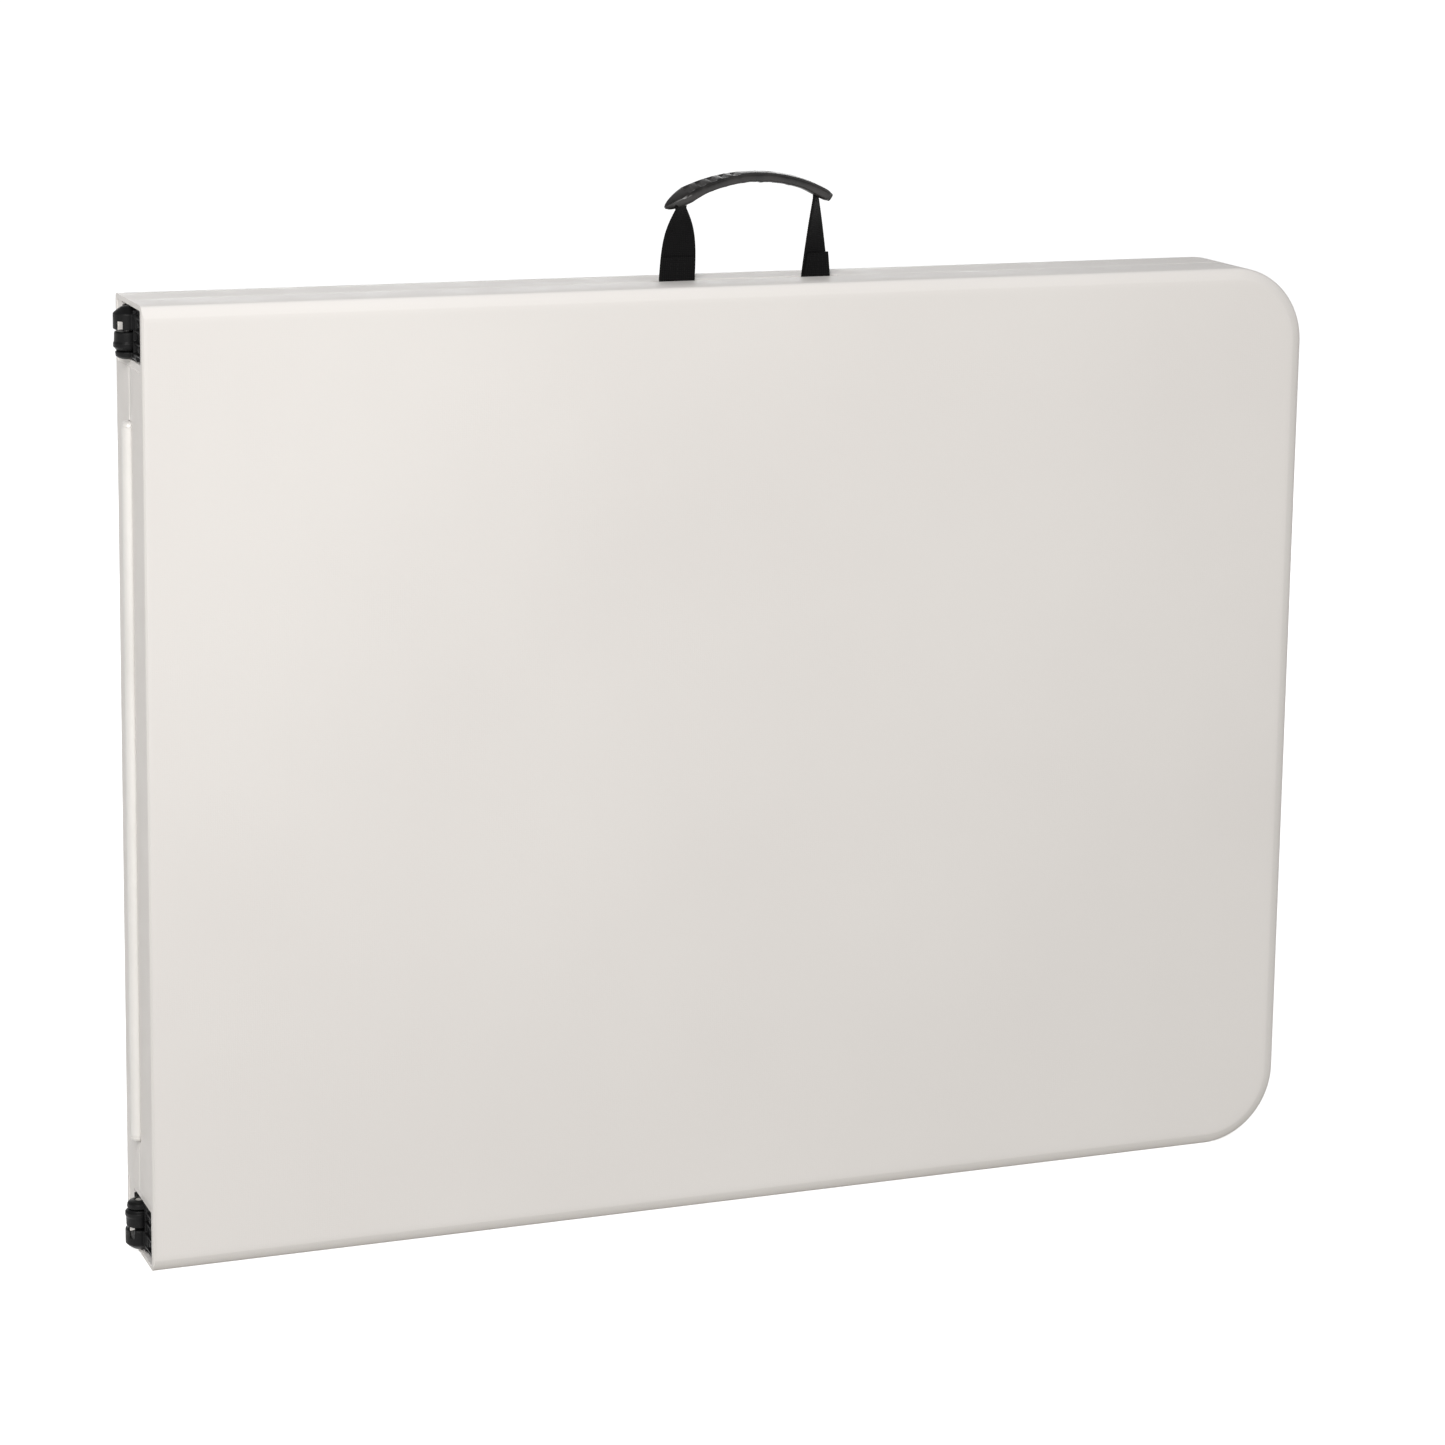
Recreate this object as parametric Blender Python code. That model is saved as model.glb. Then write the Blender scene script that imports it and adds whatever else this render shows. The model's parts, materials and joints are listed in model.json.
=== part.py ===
"""Fold-in-half banquet table, closed like a suitcase and standing on one long edge.

The two halves of the top hinge on a vertical fold axis. World axes: +X from the fold towards
the outer end, +Y through the closed halves (half A is at -Y, half B at +Y), +Z up, across the
width of the table. Metres. The origin is under the middle of the object's box, on the floor.
"""

import math

import bmesh
import bpy
from mathutils import Vector

# ---------------------------------------------------------------- driving dimensions
HALF_LENGTH = 0.915          # fold line to outer end of one half
TABLE_WIDTH = 0.705          # across the table, vertical while it is closed
HALF_THICK = 0.0425          # one half, from the seam to the table-top face
OUTER_RADIUS = 0.059         # plan radius of the two outer corners
BEVEL = 0.009                # width of the soft slope around the table-top face
BEVEL_DEPTH = 0.0052         # how far that slope falls
SEAM_GAP = 0.0003            # half the gap between the closed halves
FOLD_GAP = 0.0004            # half the gap between the halves when the table lies open

WALL = 0.014                 # rim wall along the long and outer edges
FOLD_WALL = 0.016            # rim wall along the fold
DRAFT = 0.003                # how much the rim walls thicken towards the core
CORE_H = 0.0345              # seam to the underside of the top

KNUCKLE_R = 0.0105           # hinge knuckle, about the fold axis
KNUCKLE_CLEAR = 0.0008       # free space around a turning knuckle
HINGE_START = 0.0042         # hinge block, measured in from each long edge
HINGE_END = 0.042
LUG_SPANS_A = ((0.0042, 0.0215), (0.0360, 0.042))
LUG_SPANS_B = ((0.0220, 0.0355),)
HINGE_BASE_H = {"a": 0.036, "b": 0.0215}   # how far each base reaches from the seam
HINGE_BASE_U = 0.012         # how deep the base sits in the fold wall
HINGE_PIN_R = 0.003
PIN_CLEAR = 0.0004
POCKET_MARGIN = 0.0005
STEP_END = 0.048             # shallow step beside the pocket, measured in from the long edge
STEP_DEPTH = 0.0012
STEP_H = 0.0365

FOLD_TUBE_R = 0.0055         # stiffening tube lying in the fold groove
FOLD_TUBE_INSET = 0.086      # its end, measured in from each long edge
GROOVE_CLEAR = 0.0005

PIVOT_U = 0.884              # leg pivot, measured from the fold line
LEG_H = 0.0235               # leg plane, measured from the seam
LEG_LENGTH = 0.686           # pivot to the end of the foot
LEG_R = 0.010
FOOT_R = 0.0106
FOOT_LENGTH = 0.030
POST_V = {"a": 0.250, "b": 0.285}     # nested leg frames, half B's is the wider one
CROSSBAR_RHO = 0.250         # crossbar, measured along the leg from the pivot
CROSSBAR_R = 0.007
FIT = 0.0003                 # gap between touching pieces

PLATE_V = 0.2968             # inner face of the pivot plates
PLATE_THICK = 0.004
PLATE_R = 0.0125

RAIL_V = (0.2985, 0.3125)
RAIL_H = 0.020
RAIL_U = (0.050, 0.855)

BRACE_Q_RHO = 0.300          # fork on the panel that takes the brace when the leg is open
LEG_OPEN = math.radians(86.0)
BRACE_EYE_R = 0.0105
BRACE_EYE_V = 0.008
COLLAR_R = 0.0098            # rings that keep the brace's eye centred on the crossbar
BRACE_TONGUE_R = 0.008
BRACE_BAR_H = 0.0055
BRACE_BAR_V = 0.004
FORK_LUG = (0.0045, 0.0075)
FORK_HOLE_R = 0.003

CLIP_U = 0.345               # leg clips, measured from the fold line
CLIP_LENGTH = 0.018

HANDLE_U = 0.4665            # centre of the handle, from the fold line
STRAP_SPACING = 0.1098
STRAP_THICK = 0.0024
# width, twist at the grip, how the twist builds up, and how far the top leans towards +X
STRAPS = {
    "left": (0.0280, math.radians(44), 2.0, 0.0025),
    "right": (0.0212, math.radians(57), 0.8, 0.0),
}
NOTCH_WIDTH = 0.150
NOTCH_DEPTH = 0.0035
SWING_UP = 0.0035            # handle's swing axis above the long edge
GRIP_TOP = 0.0795            # top of the grip above the long edge
GRIP_LENGTH = 0.130
GRIP_RISE = 0.0186
GRIP_TILT = math.radians(2.5)
GRIP_R = 0.0038              # half its thickness
GRIP_RY = 0.0100             # half its width
GRIP_ROLL = math.radians(14)  # how far its lower end rolls towards half A

FOLD_X = -(HALF_LENGTH - KNUCKLE_R) / 2
MID_Z = TABLE_WIDTH / 2
SIDE = {"a": -1.0, "b": 1.0}
ROUND = 28                   # sides of a turned piece

for old in list(bpy.data.objects):
    bpy.data.objects.remove(old, do_unlink=True)


# ---------------------------------------------------------------- helpers
def world(half, u, h, v):
    """Half-table coordinates to world: u from the fold, h from the seam, v across the table."""
    return Vector((FOLD_X + u, SIDE[half] * h, MID_Z + v))


def material(name, colour, roughness, metallic=0.0):
    mat = bpy.data.materials.new(name)
    mat.use_nodes = True
    shader = mat.node_tree.nodes["Principled BSDF"]
    shader.inputs["Base Color"].default_value = (*colour, 1.0)
    shader.inputs["Roughness"].default_value = roughness
    shader.inputs["Metallic"].default_value = metallic
    return mat


def pivot(name, place, parent=None):
    """An empty on a joint axis; the pieces that turn about it are its children."""
    empty = bpy.data.objects.new(name, None)
    empty["place"] = tuple(place)
    base = Vector(parent["place"]) if parent else Vector((0, 0, 0))
    empty.parent = parent
    empty.location = place - base
    bpy.context.collection.objects.link(empty)
    return empty


def add(name, bm, mat, parent=None, smooth=True):
    """Turn a world-space bmesh into an object whose origin is on its parent's axis."""
    bmesh.ops.remove_doubles(bm, verts=bm.verts, dist=1e-7)
    bmesh.ops.recalc_face_normals(bm, faces=bm.faces)
    base = Vector(parent["place"]) if parent else Vector((0, 0, 0))
    bmesh.ops.translate(bm, vec=-base, verts=bm.verts)
    mesh = bpy.data.meshes.new(name)
    bm.to_mesh(mesh)
    bm.free()
    if smooth:
        mesh.shade_smooth()
        mesh.set_sharp_from_angle(angle=math.radians(35))
    if mat:
        mesh.materials.append(mat)
    obj = bpy.data.objects.new(name, mesh)
    obj.parent = parent
    bpy.context.collection.objects.link(obj)
    return obj


def loft(bm, loops):
    """Bridge closed loops of equal length and cap both ends."""
    rings = [[bm.verts.new(p) for p in loop] for loop in loops]
    count = len(rings[0])
    for low, high in zip(rings, rings[1:]):
        for i in range(count):
            j = (i + 1) % count
            bm.faces.new((low[i], low[j], high[j], high[i]))
    bm.faces.new(list(reversed(rings[0])))
    bm.faces.new(rings[-1])


def box(bm, low, high, bevel=0.0):
    """Axis-aligned block between two corners, with its edges eased."""
    low, high = ([f(a, b) for a, b in zip(low, high)] for f in (min, max))
    made = bmesh.ops.create_cube(bm, size=1.0)
    size = [b - a for a, b in zip(low, high)]
    middle = Vector([(a + b) / 2 for a, b in zip(low, high)])
    bmesh.ops.scale(bm, vec=size, verts=made["verts"])
    bmesh.ops.translate(bm, vec=middle, verts=made["verts"])
    if bevel:
        edges = {e for v in made["verts"] for e in v.link_edges}
        bmesh.ops.bevel(bm, geom=list(edges), offset=bevel, segments=2, profile=0.5, affect="EDGES")


def half_box(bm, half, u, h, v, bevel=0.0):
    box(bm, world(half, u[0], h[0], v[0]), world(half, u[1], h[1], v[1]), bevel)


def rod(bm, start, end, radius, ease=0.0, sides=ROUND):
    """Round bar between two points, its end edges eased by a chamfer."""
    axis = (end - start).normalized()
    across = axis.orthogonal().normalized()
    other = axis.cross(across)
    stations = [(0.0, radius - ease), (ease, radius)] if ease else [(0.0, radius)]
    length = (end - start).length
    stations += [(length - s, r) for s, r in reversed(stations)]

    def ring(along, r):
        turn = [2 * math.pi * i / sides for i in range(sides)]
        centre = start + axis * along
        return [centre + across * (r * math.cos(t)) + other * (r * math.sin(t)) for t in turn]

    loft(bm, [ring(s, r) for s, r in stations])


def prism(bm, outline, half, v0, v1):
    """Extrude a (u, h) outline of one half across the table."""
    loft(bm, [[world(half, u, h, v) for u, h in outline] for v in (v0, v1)])


def operand(target, name, bm, operation, parent=None):
    """A hidden shape that is joined to, or cut out of, the target."""
    tool = add(name, bm, None, parent, smooth=False)
    tool.hide_render = True
    tool.display_type = "WIRE"
    mod = target.modifiers.new(name, "BOOLEAN")
    mod.operation = operation
    mod.solver = "EXACT"
    mod.object = tool
    return mod


def arc(cx, cy, radius, start, stop, steps):
    turn = [math.radians(start + (stop - start) * i / steps) for i in range(steps + 1)]
    return [(cx + radius * math.cos(t), cy + radius * math.sin(t)) for t in turn]


# ---------------------------------------------------------------- materials
HDPE = material("hdpe_off_white", (0.80, 0.775, 0.75), 0.55)
STEEL = material("powder_coated_steel", (0.50, 0.50, 0.50), 0.45, 0.2)
PALE_STEEL = material("pale_painted_tube", (0.74, 0.73, 0.71), 0.42)
BLACK = material("black_plastic", (0.02, 0.02, 0.022), 0.42)
WEBBING = material("black_webbing", (0.025, 0.024, 0.026), 0.85)
GRIP = material("black_grip", (0.03, 0.028, 0.028), 0.35)

# ---------------------------------------------------------------- joint axes
FOLD_AXIS = pivot("center_fold_axis", world("a", 0, 0, 0))
HANDLE_AXIS = pivot("handle_swing_axis", Vector((FOLD_X + HANDLE_U, 0, TABLE_WIDTH + SWING_UP)))
LEG_AXIS = {
    "a": pivot("leg_a_axis", world("a", PIVOT_U, LEG_H, 0)),
    "b": pivot("leg_b_axis", world("b", PIVOT_U, LEG_H, 0), FOLD_AXIS),
}
BRACE_AXIS = {
    half: pivot(f"brace_{half}_axis", world(half, PIVOT_U - CROSSBAR_RHO, LEG_H, 0), LEG_AXIS[half])
    for half in "ab"
}
PANEL_PARENT = {"a": None, "b": FOLD_AXIS}


# ---------------------------------------------------------------- table top
def outline(inset, fold_inset):
    """Plan of one half, square at the fold and rounded at the outer end, as (u, v)."""
    edge = TABLE_WIDTH / 2 - inset
    radius = OUTER_RADIUS - inset
    centre_u = HALF_LENGTH - OUTER_RADIUS
    centre_v = TABLE_WIDTH / 2 - OUTER_RADIUS
    fold_u = FOLD_GAP + fold_inset
    low = arc(centre_u, -centre_v, radius, -90, 0, 10)
    high = arc(centre_u, centre_v, radius, 0, 90, 10)
    return [(fold_u, -edge)] + low + high + [(fold_u, edge)]


def panel(half):
    """Blow-moulded half: bevelled outer skin, rim wall and a recess facing the seam."""
    skin = [
        (CORE_H, WALL + DRAFT, FOLD_WALL + DRAFT),
        (SEAM_GAP + 0.0012, WALL, FOLD_WALL),
        (SEAM_GAP, WALL - 0.0012, FOLD_WALL - 0.0012),
        (SEAM_GAP, 0.0012, 0.0),
        (SEAM_GAP + 0.0012, 0.0, 0.0),
        (HALF_THICK - BEVEL_DEPTH, 0.0, 0.0),
        (HALF_THICK - BEVEL_DEPTH * 0.62, BEVEL * 0.14, 0.0),
        (HALF_THICK - BEVEL_DEPTH * 0.14, BEVEL * 0.74, 0.0004),
        (HALF_THICK, BEVEL, 0.0014),
    ]
    bm = bmesh.new()
    loft(bm, [[world(half, u, h, v) for u, v in outline(i, f)] for h, i, f in skin])
    obj = add(f"panel_{half}", bm, HDPE, PANEL_PARENT[half])

    cut = bmesh.new()
    groove = TABLE_WIDTH / 2 - FOLD_TUBE_INSET
    reach = FOLD_TUBE_R + GROOVE_CLEAR
    rod(cut, world(half, 0, 0, -groove), world(half, 0, 0, groove), reach)
    operand(obj, f"cut_fold_groove_{half}", cut, "DIFFERENCE", PANEL_PARENT[half])

    cut = bmesh.new()
    outer = TABLE_WIDTH / 2 - HINGE_START + POCKET_MARGIN
    inner = TABLE_WIDTH / 2 - HINGE_END - POCKET_MARGIN
    depth_u = HINGE_BASE_U + POCKET_MARGIN
    depth_h = HINGE_BASE_H[half] + POCKET_MARGIN
    for s in (-1, 1):
        half_box(cut, half, (-0.01, depth_u), (-0.01, depth_h), (s * inner, s * outer))
    operand(obj, f"cut_hinge_pockets_{half}", cut, "DIFFERENCE", PANEL_PARENT[half])

    cut = bmesh.new()
    step_v = (TABLE_WIDTH / 2 - STEP_END, outer - 0.0002)
    for s in (-1, 1):
        half_box(cut, half, (-0.01, STEP_DEPTH), (-0.01, STEP_H), [s * v for v in step_v])
    operand(obj, f"cut_steps_{half}", cut, "DIFFERENCE", PANEL_PARENT[half])

    cut = bmesh.new()
    span = (HANDLE_U - NOTCH_WIDTH / 2, HANDLE_U + NOTCH_WIDTH / 2)
    half_box(cut, half, span, (-0.01, NOTCH_DEPTH), (TABLE_WIDTH / 2 - 0.03, TABLE_WIDTH / 2 + 0.01))
    operand(obj, f"cut_handle_notch_{half}", cut, "DIFFERENCE", PANEL_PARENT[half])


# ---------------------------------------------------------------- fold hinges
def across_from_edge(s, distance):
    """v of a place that is `distance` in from the lower (s = -1) or upper (s = 1) long edge."""
    return s * (TABLE_WIDTH / 2 - distance)


def hinge_block(half, s, lugs, slot):
    """Base let into the fold wall, with knuckles that reach around the fold axis."""
    label = "upper" if s > 0 else "lower"
    parent = PANEL_PARENT[half]
    bm = bmesh.new()
    clear = KNUCKLE_R + KNUCKLE_CLEAR + 0.0004
    ends = [across_from_edge(s, d) for d in (HINGE_START, HINGE_END)]
    half_box(bm, half, (FOLD_GAP + 0.0002, HINGE_BASE_U), (clear, HINGE_BASE_H[half]), ends, 0.0008)
    obj = add(f"hinge_{half}_{label}", bm, BLACK, parent)

    web_u = (0.0012, HINGE_BASE_U - 0.0006)
    knuckle = arc(0, 0, KNUCKLE_R, 90, 356, 30)
    knuckle += [(web_u[1], 0.0010), (web_u[1], 0.020), (web_u[0], 0.020), (web_u[0], KNUCKLE_R + 0.0002)]
    bm = bmesh.new()
    for span in lugs:
        prism(bm, knuckle, half, *(across_from_edge(s, d) for d in span))
    operand(obj, f"join_knuckles_{half}_{label}", bm, "UNION", parent)

    bm = bmesh.new()
    bore = HINGE_PIN_R + PIN_CLEAR
    rod(bm, world(half, 0, 0, across_from_edge(s, 0.0)), world(half, 0, 0, across_from_edge(s, 0.05)), bore)
    operand(obj, f"cut_bore_{half}_{label}", bm, "DIFFERENCE", parent)
    if slot:
        bm = bmesh.new()
        v = [across_from_edge(s, d) for d in (0.0085, 0.0180)]
        half_box(bm, half, (-0.0080, -0.0046), (-0.02, 0.02), v)
        operand(obj, f"cut_slot_{half}_{label}", bm, "DIFFERENCE", parent)


def hinge_pin(s):
    label = "upper" if s > 0 else "lower"
    bm = bmesh.new()
    low, high = (world("a", 0, 0, across_from_edge(s, d)) for d in (0.0044, 0.0418))
    rod(bm, low, high, HINGE_PIN_R, 0.0004)
    add(f"hinge_pin_{label}", bm, STEEL)


def fold_tube():
    """Painted stiffening tube that lies in the groove between the two fold walls."""
    bm = bmesh.new()
    reach = TABLE_WIDTH / 2 - FOLD_TUBE_INSET - 0.0006
    rod(bm, world("a", 0, 0, -reach), world("a", 0, 0, reach), FOLD_TUBE_R, 0.0008)
    add("fold_tube", bm, PALE_STEEL)


# ---------------------------------------------------------------- steel under the top
def rail(half, s):
    label = "upper" if s > 0 else "lower"
    bm = bmesh.new()
    top = CORE_H - FIT
    half_box(bm, half, RAIL_U, (top - RAIL_H, top), [s * v for v in RAIL_V], 0.0018)
    add(f"rail_{half}_{label}", bm, STEEL, PANEL_PARENT[half])


def pivot_plate(half, s):
    """Upright plate that carries one end of the leg's pivot tube."""
    label = "upper" if s > 0 else "lower"
    parent = PANEL_PARENT[half]
    foot = CORE_H - FIT
    profile = [(PIVOT_U - PLATE_R, foot), (PIVOT_U + PLATE_R - 0.001, foot)]
    profile += arc(PIVOT_U, LEG_H, PLATE_R, 0, -180, 18)
    bm = bmesh.new()
    prism(bm, profile, half, s * PLATE_V, s * (PLATE_V + PLATE_THICK))
    obj = add(f"pivot_plate_{half}_{label}", bm, STEEL, parent)
    bm = bmesh.new()
    flange_v = [s * (PLATE_V + x) for x in (0.001, 0.0115)]
    half_box(bm, half, (PIVOT_U - 0.020, PIVOT_U + 0.001), (foot - 0.0025, foot - 0.0001), flange_v)
    operand(obj, f"join_flange_{half}_{label}", bm, "UNION", parent)
    bm = bmesh.new()
    ends = [world(half, PIVOT_U, LEG_H, s * (PLATE_V + x)) for x in (-0.005, PLATE_THICK + 0.005)]
    rod(bm, *ends, LEG_R + FIT)
    operand(obj, f"cut_plate_bore_{half}_{label}", bm, "DIFFERENCE", parent)


def brace_fork(half):
    """Two ears on the panel; the brace's tongue is pinned between them when the leg is open."""
    parent = PANEL_PARENT[half]
    foot = CORE_H - FIT
    u = PIVOT_U - BRACE_Q_RHO
    bm = bmesh.new()
    half_box(bm, half, (u - 0.020, u + 0.014), (foot - 0.0022, foot), (-0.018, 0.018), 0.0005)
    obj = add(f"brace_fork_{half}", bm, STEEL, parent)
    ear = [(u - 0.011, foot - 0.001), (u + 0.011, foot - 0.001)]
    ear += arc(u, LEG_H, BRACE_TONGUE_R, 0, -180, 16)
    bm = bmesh.new()
    for s in (-1, 1):
        prism(bm, ear, half, s * FORK_LUG[0], s * FORK_LUG[1])
    operand(obj, f"join_ears_{half}", bm, "UNION", parent)
    bm = bmesh.new()
    rod(bm, world(half, u, LEG_H, -0.02), world(half, u, LEG_H, 0.02), FORK_HOLE_R, sides=20)
    operand(obj, f"cut_ear_holes_{half}", bm, "DIFFERENCE", parent)


def leg_clip(half, s):
    """Channel-shaped clip that holds one folded post between its two jaws."""
    label = "upper" if s > 0 else "lower"
    inner = LEG_R + 0.0004
    outer = inner + 0.0028
    foot = CORE_H - FIT
    floor = LEG_H + LEG_R + FIT
    tip = LEG_H - 0.008
    section = [(-outer, foot), (-outer, tip + 0.001), (-outer + 0.001, tip), (-inner, tip)]
    section += [(-inner, floor), (inner, floor)]
    section += [(inner, tip), (outer - 0.001, tip), (outer, tip + 0.001), (outer, foot)]
    bm = bmesh.new()
    v0 = s * POST_V[half]
    loft(bm, [[world(half, u, h, v0 + v) for v, h in section] for u in (CLIP_U, CLIP_U + CLIP_LENGTH)])
    add(f"leg_clip_{half}_{label}", bm, BLACK, PANEL_PARENT[half])


# ---------------------------------------------------------------- legs
def on_leg(half, rho, v):
    """A place on the folded leg, measured from its pivot towards the fold."""
    return world(half, PIVOT_U - rho, LEG_H, v)


def leg(half):
    parent = LEG_AXIS[half]
    bm = bmesh.new()
    end = PLATE_V + PLATE_THICK + 0.001
    rod(bm, on_leg(half, 0, -end), on_leg(half, 0, end), LEG_R, 0.0008)
    add(f"pivot_tube_{half}", bm, STEEL, parent)

    post_end = LEG_LENGTH - FOOT_LENGTH
    for s, label in ((-1, "lower"), (1, "upper")):
        v = s * POST_V[half]
        bm = bmesh.new()
        rod(bm, on_leg(half, LEG_R + FIT, v), on_leg(half, post_end - FIT, v), LEG_R)
        add(f"post_{half}_{label}", bm, STEEL, parent)

    bm = bmesh.new()
    reach = POST_V[half] - LEG_R - FIT
    rod(bm, on_leg(half, CROSSBAR_RHO, -reach), on_leg(half, CROSSBAR_RHO, reach), CROSSBAR_R)
    add(f"crossbar_{half}", bm, STEEL, parent)

    for s, label in ((-1, "lower"), (1, "upper")):
        v = s * POST_V[half]
        bm = bmesh.new()
        rod(bm, on_leg(half, post_end, v), on_leg(half, LEG_LENGTH, v), FOOT_R, 0.002)
        add(f"foot_{half}_{label}", bm, BLACK, parent)

        bm = bmesh.new()
        start, stop = (s * (BRACE_EYE_V + x) for x in (FIT, 0.0065))
        rod(bm, on_leg(half, CROSSBAR_RHO, start), on_leg(half, CROSSBAR_RHO, stop), COLLAR_R, 0.0006)
        collar = add(f"brace_collar_{half}_{label}", bm, BLACK, parent)
        bm = bmesh.new()
        ends = [on_leg(half, CROSSBAR_RHO, x) for x in (-0.03, 0.03)]
        rod(bm, *ends, CROSSBAR_R + FIT)
        operand(collar, f"cut_collar_bore_{half}_{label}", bm, "DIFFERENCE", parent)


def brace_length():
    """Crossbar to fork with the leg fully open."""
    along = BRACE_Q_RHO - CROSSBAR_RHO * math.cos(LEG_OPEN)
    return math.hypot(along, CROSSBAR_RHO * math.sin(LEG_OPEN))


def brace(half):
    """Stay that turns on the crossbar and folds flat along the leg."""
    parent = BRACE_AXIS[half]
    far = CROSSBAR_RHO + brace_length()
    bm = bmesh.new()
    rod(bm, on_leg(half, CROSSBAR_RHO, -BRACE_EYE_V), on_leg(half, CROSSBAR_RHO, BRACE_EYE_V), BRACE_EYE_R)
    obj = add(f"brace_{half}", bm, STEEL, parent)
    bm = bmesh.new()
    u = (PIVOT_U - CROSSBAR_RHO - 0.0085, PIVOT_U - far + 0.0060)
    h = (LEG_H - BRACE_BAR_H, LEG_H + BRACE_BAR_H)
    half_box(bm, half, u, h, (-BRACE_BAR_V + 0.0002, BRACE_BAR_V - 0.0002), 0.001)
    operand(obj, f"join_bar_{half}", bm, "UNION", parent)
    bm = bmesh.new()
    rod(bm, on_leg(half, far, -BRACE_BAR_V), on_leg(half, far, BRACE_BAR_V), BRACE_TONGUE_R)
    operand(obj, f"join_tongue_{half}", bm, "UNION", parent)
    bm = bmesh.new()
    ends = [on_leg(half, CROSSBAR_RHO, v) for v in (-0.02, 0.02)]
    rod(bm, *ends, CROSSBAR_R + FIT)
    ends = [on_leg(half, far, v) for v in (-0.02, 0.02)]
    rod(bm, *ends, FORK_HOLE_R, sides=20)
    operand(obj, f"cut_brace_holes_{half}", bm, "DIFFERENCE", parent)


# ---------------------------------------------------------------- carrying handle
def grip_height(x):
    """Centre line of the grip above the long edge, x from the middle of the handle."""
    half_span = GRIP_LENGTH / 2
    radius = (half_span ** 2 + GRIP_RISE ** 2) / (2 * GRIP_RISE)
    drop = radius - math.sqrt(radius ** 2 - x ** 2)
    return GRIP_TOP - GRIP_R - drop + x * math.sin(GRIP_TILT)


def grip():
    """Moulded arched band, a rounded bar in section, its lower end rolled towards half A."""
    stations = 26
    half_span = GRIP_LENGTH / 2
    loops = []
    for i in range(stations + 1):
        x = half_span * math.sin(math.pi * (i / stations - 0.5))
        low, high = max(x - 1e-4, -half_span), min(x + 1e-4, half_span)
        slope = (grip_height(high) - grip_height(low)) / (high - low)
        along = Vector((1, 0, slope)).normalized()
        roll = GRIP_ROLL * max(-x / half_span, 0.4 * x / half_span)
        up = Vector((0, -math.sin(roll), math.cos(roll)))
        up = (up - along * up.dot(along)).normalized()
        side = along.cross(up)
        fade = math.sqrt(max(1 - (abs(x) / half_span) ** 14, 0.25))
        centre = Vector((FOLD_X + HANDLE_U + x, 0, TABLE_WIDTH + grip_height(x)))
        ring = []
        for k in range(24):
            t = 2 * math.pi * k / 24
            flat = [math.copysign(abs(f(t)) ** 0.6, f(t)) for f in (math.cos, math.sin)]
            ring.append(centre + side * (GRIP_RY * fade * flat[0]) + up * (GRIP_R * fade * flat[1]))
        loops.append(ring)
    bm = bmesh.new()
    loft(bm, loops)
    add("handle_grip", bm, GRIP, HANDLE_AXIS)


def strap(label, s):
    """Webbing from the swing axis up to the grip, turning as it rises."""
    width, twist, build_up, lean = STRAPS[label]
    x = s * STRAP_SPACING / 2
    low = SWING_UP - 0.0015
    drop = GRIP_R + 0.0012 + GRIP_RY * math.sin(GRIP_ROLL) * (1.0 if s < 0 else 0.4)
    high = grip_height(x) - drop
    steps = 14
    loops = []
    for i in range(steps + 1):
        t = i / steps
        angle = twist * t ** build_up
        along = Vector((math.cos(angle), math.sin(angle), 0)) * (width / 2)
        thick = Vector((-math.sin(angle), math.cos(angle), 0)) * (STRAP_THICK / 2)
        centre = Vector((FOLD_X + HANDLE_U + x + lean * t, 0, TABLE_WIDTH + low + (high - low) * t))
        corners = ((-1, -1), (0, -1), (1, -1), (1, 1), (0, 1), (-1, 1))
        loops.append([centre + along * a + thick * b for a, b in corners])
    bm = bmesh.new()
    loft(bm, loops)
    add(f"strap_{label}", bm, WEBBING, HANDLE_AXIS)


def strap_root(label, s):
    """Sewn lower end of a strap in the notch between the rims, and the block that clamps it."""
    bm = bmesh.new()
    width = STRAPS[label][0]
    x = FOLD_X + HANDLE_U + s * STRAP_SPACING / 2
    low = (x - width / 2, -STRAP_THICK / 2, TABLE_WIDTH - 0.036)
    high = (x + width / 2, STRAP_THICK / 2, TABLE_WIDTH + 0.0012)
    box(bm, low, high, 0.0004)
    add(f"strap_root_{label}", bm, WEBBING)
    bm = bmesh.new()
    u = HANDLE_U + s * STRAP_SPACING / 2
    v = (TABLE_WIDTH / 2 - 0.040, TABLE_WIDTH / 2 - 0.0175)
    half_box(bm, "a", (u - 0.019, u + 0.019), (STRAP_THICK / 2 + 0.0004, 0.013), v, 0.001)
    add(f"strap_anchor_{label}", bm, BLACK)


# ---------------------------------------------------------------- build
for name in "ab":
    panel(name)
    for end in (-1, 1):
        rail(name, end)
        pivot_plate(name, end)
        hinge_block(name, end, LUG_SPANS_A if name == "a" else LUG_SPANS_B, name == "a" and end > 0)
        leg_clip(name, end)
    brace_fork(name)
    leg(name)
    brace(name)
for end in (-1, 1):
    hinge_pin(end)
fold_tube()
grip()
for name, end in (("left", -1), ("right", 1)):
    strap(name, end)
    strap_root(name, end)
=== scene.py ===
"""Looks of the fold-in-half table: skins, steelwork, handle, materials, light and camera.

The closed table stands on a long edge. Places on a half are given as u, the distance from the fold
line, h, the distance from the seam between the halves, and v, the height above the half's middle.
Lengths are in metres. Half is "a" (towards -Y) or "b" (towards +Y), and s is -1 at the lower long
edge and 1 at the upper one.
"""

import json
import math

import bmesh
import bpy
from mathutils import Matrix, Vector, noise


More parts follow.
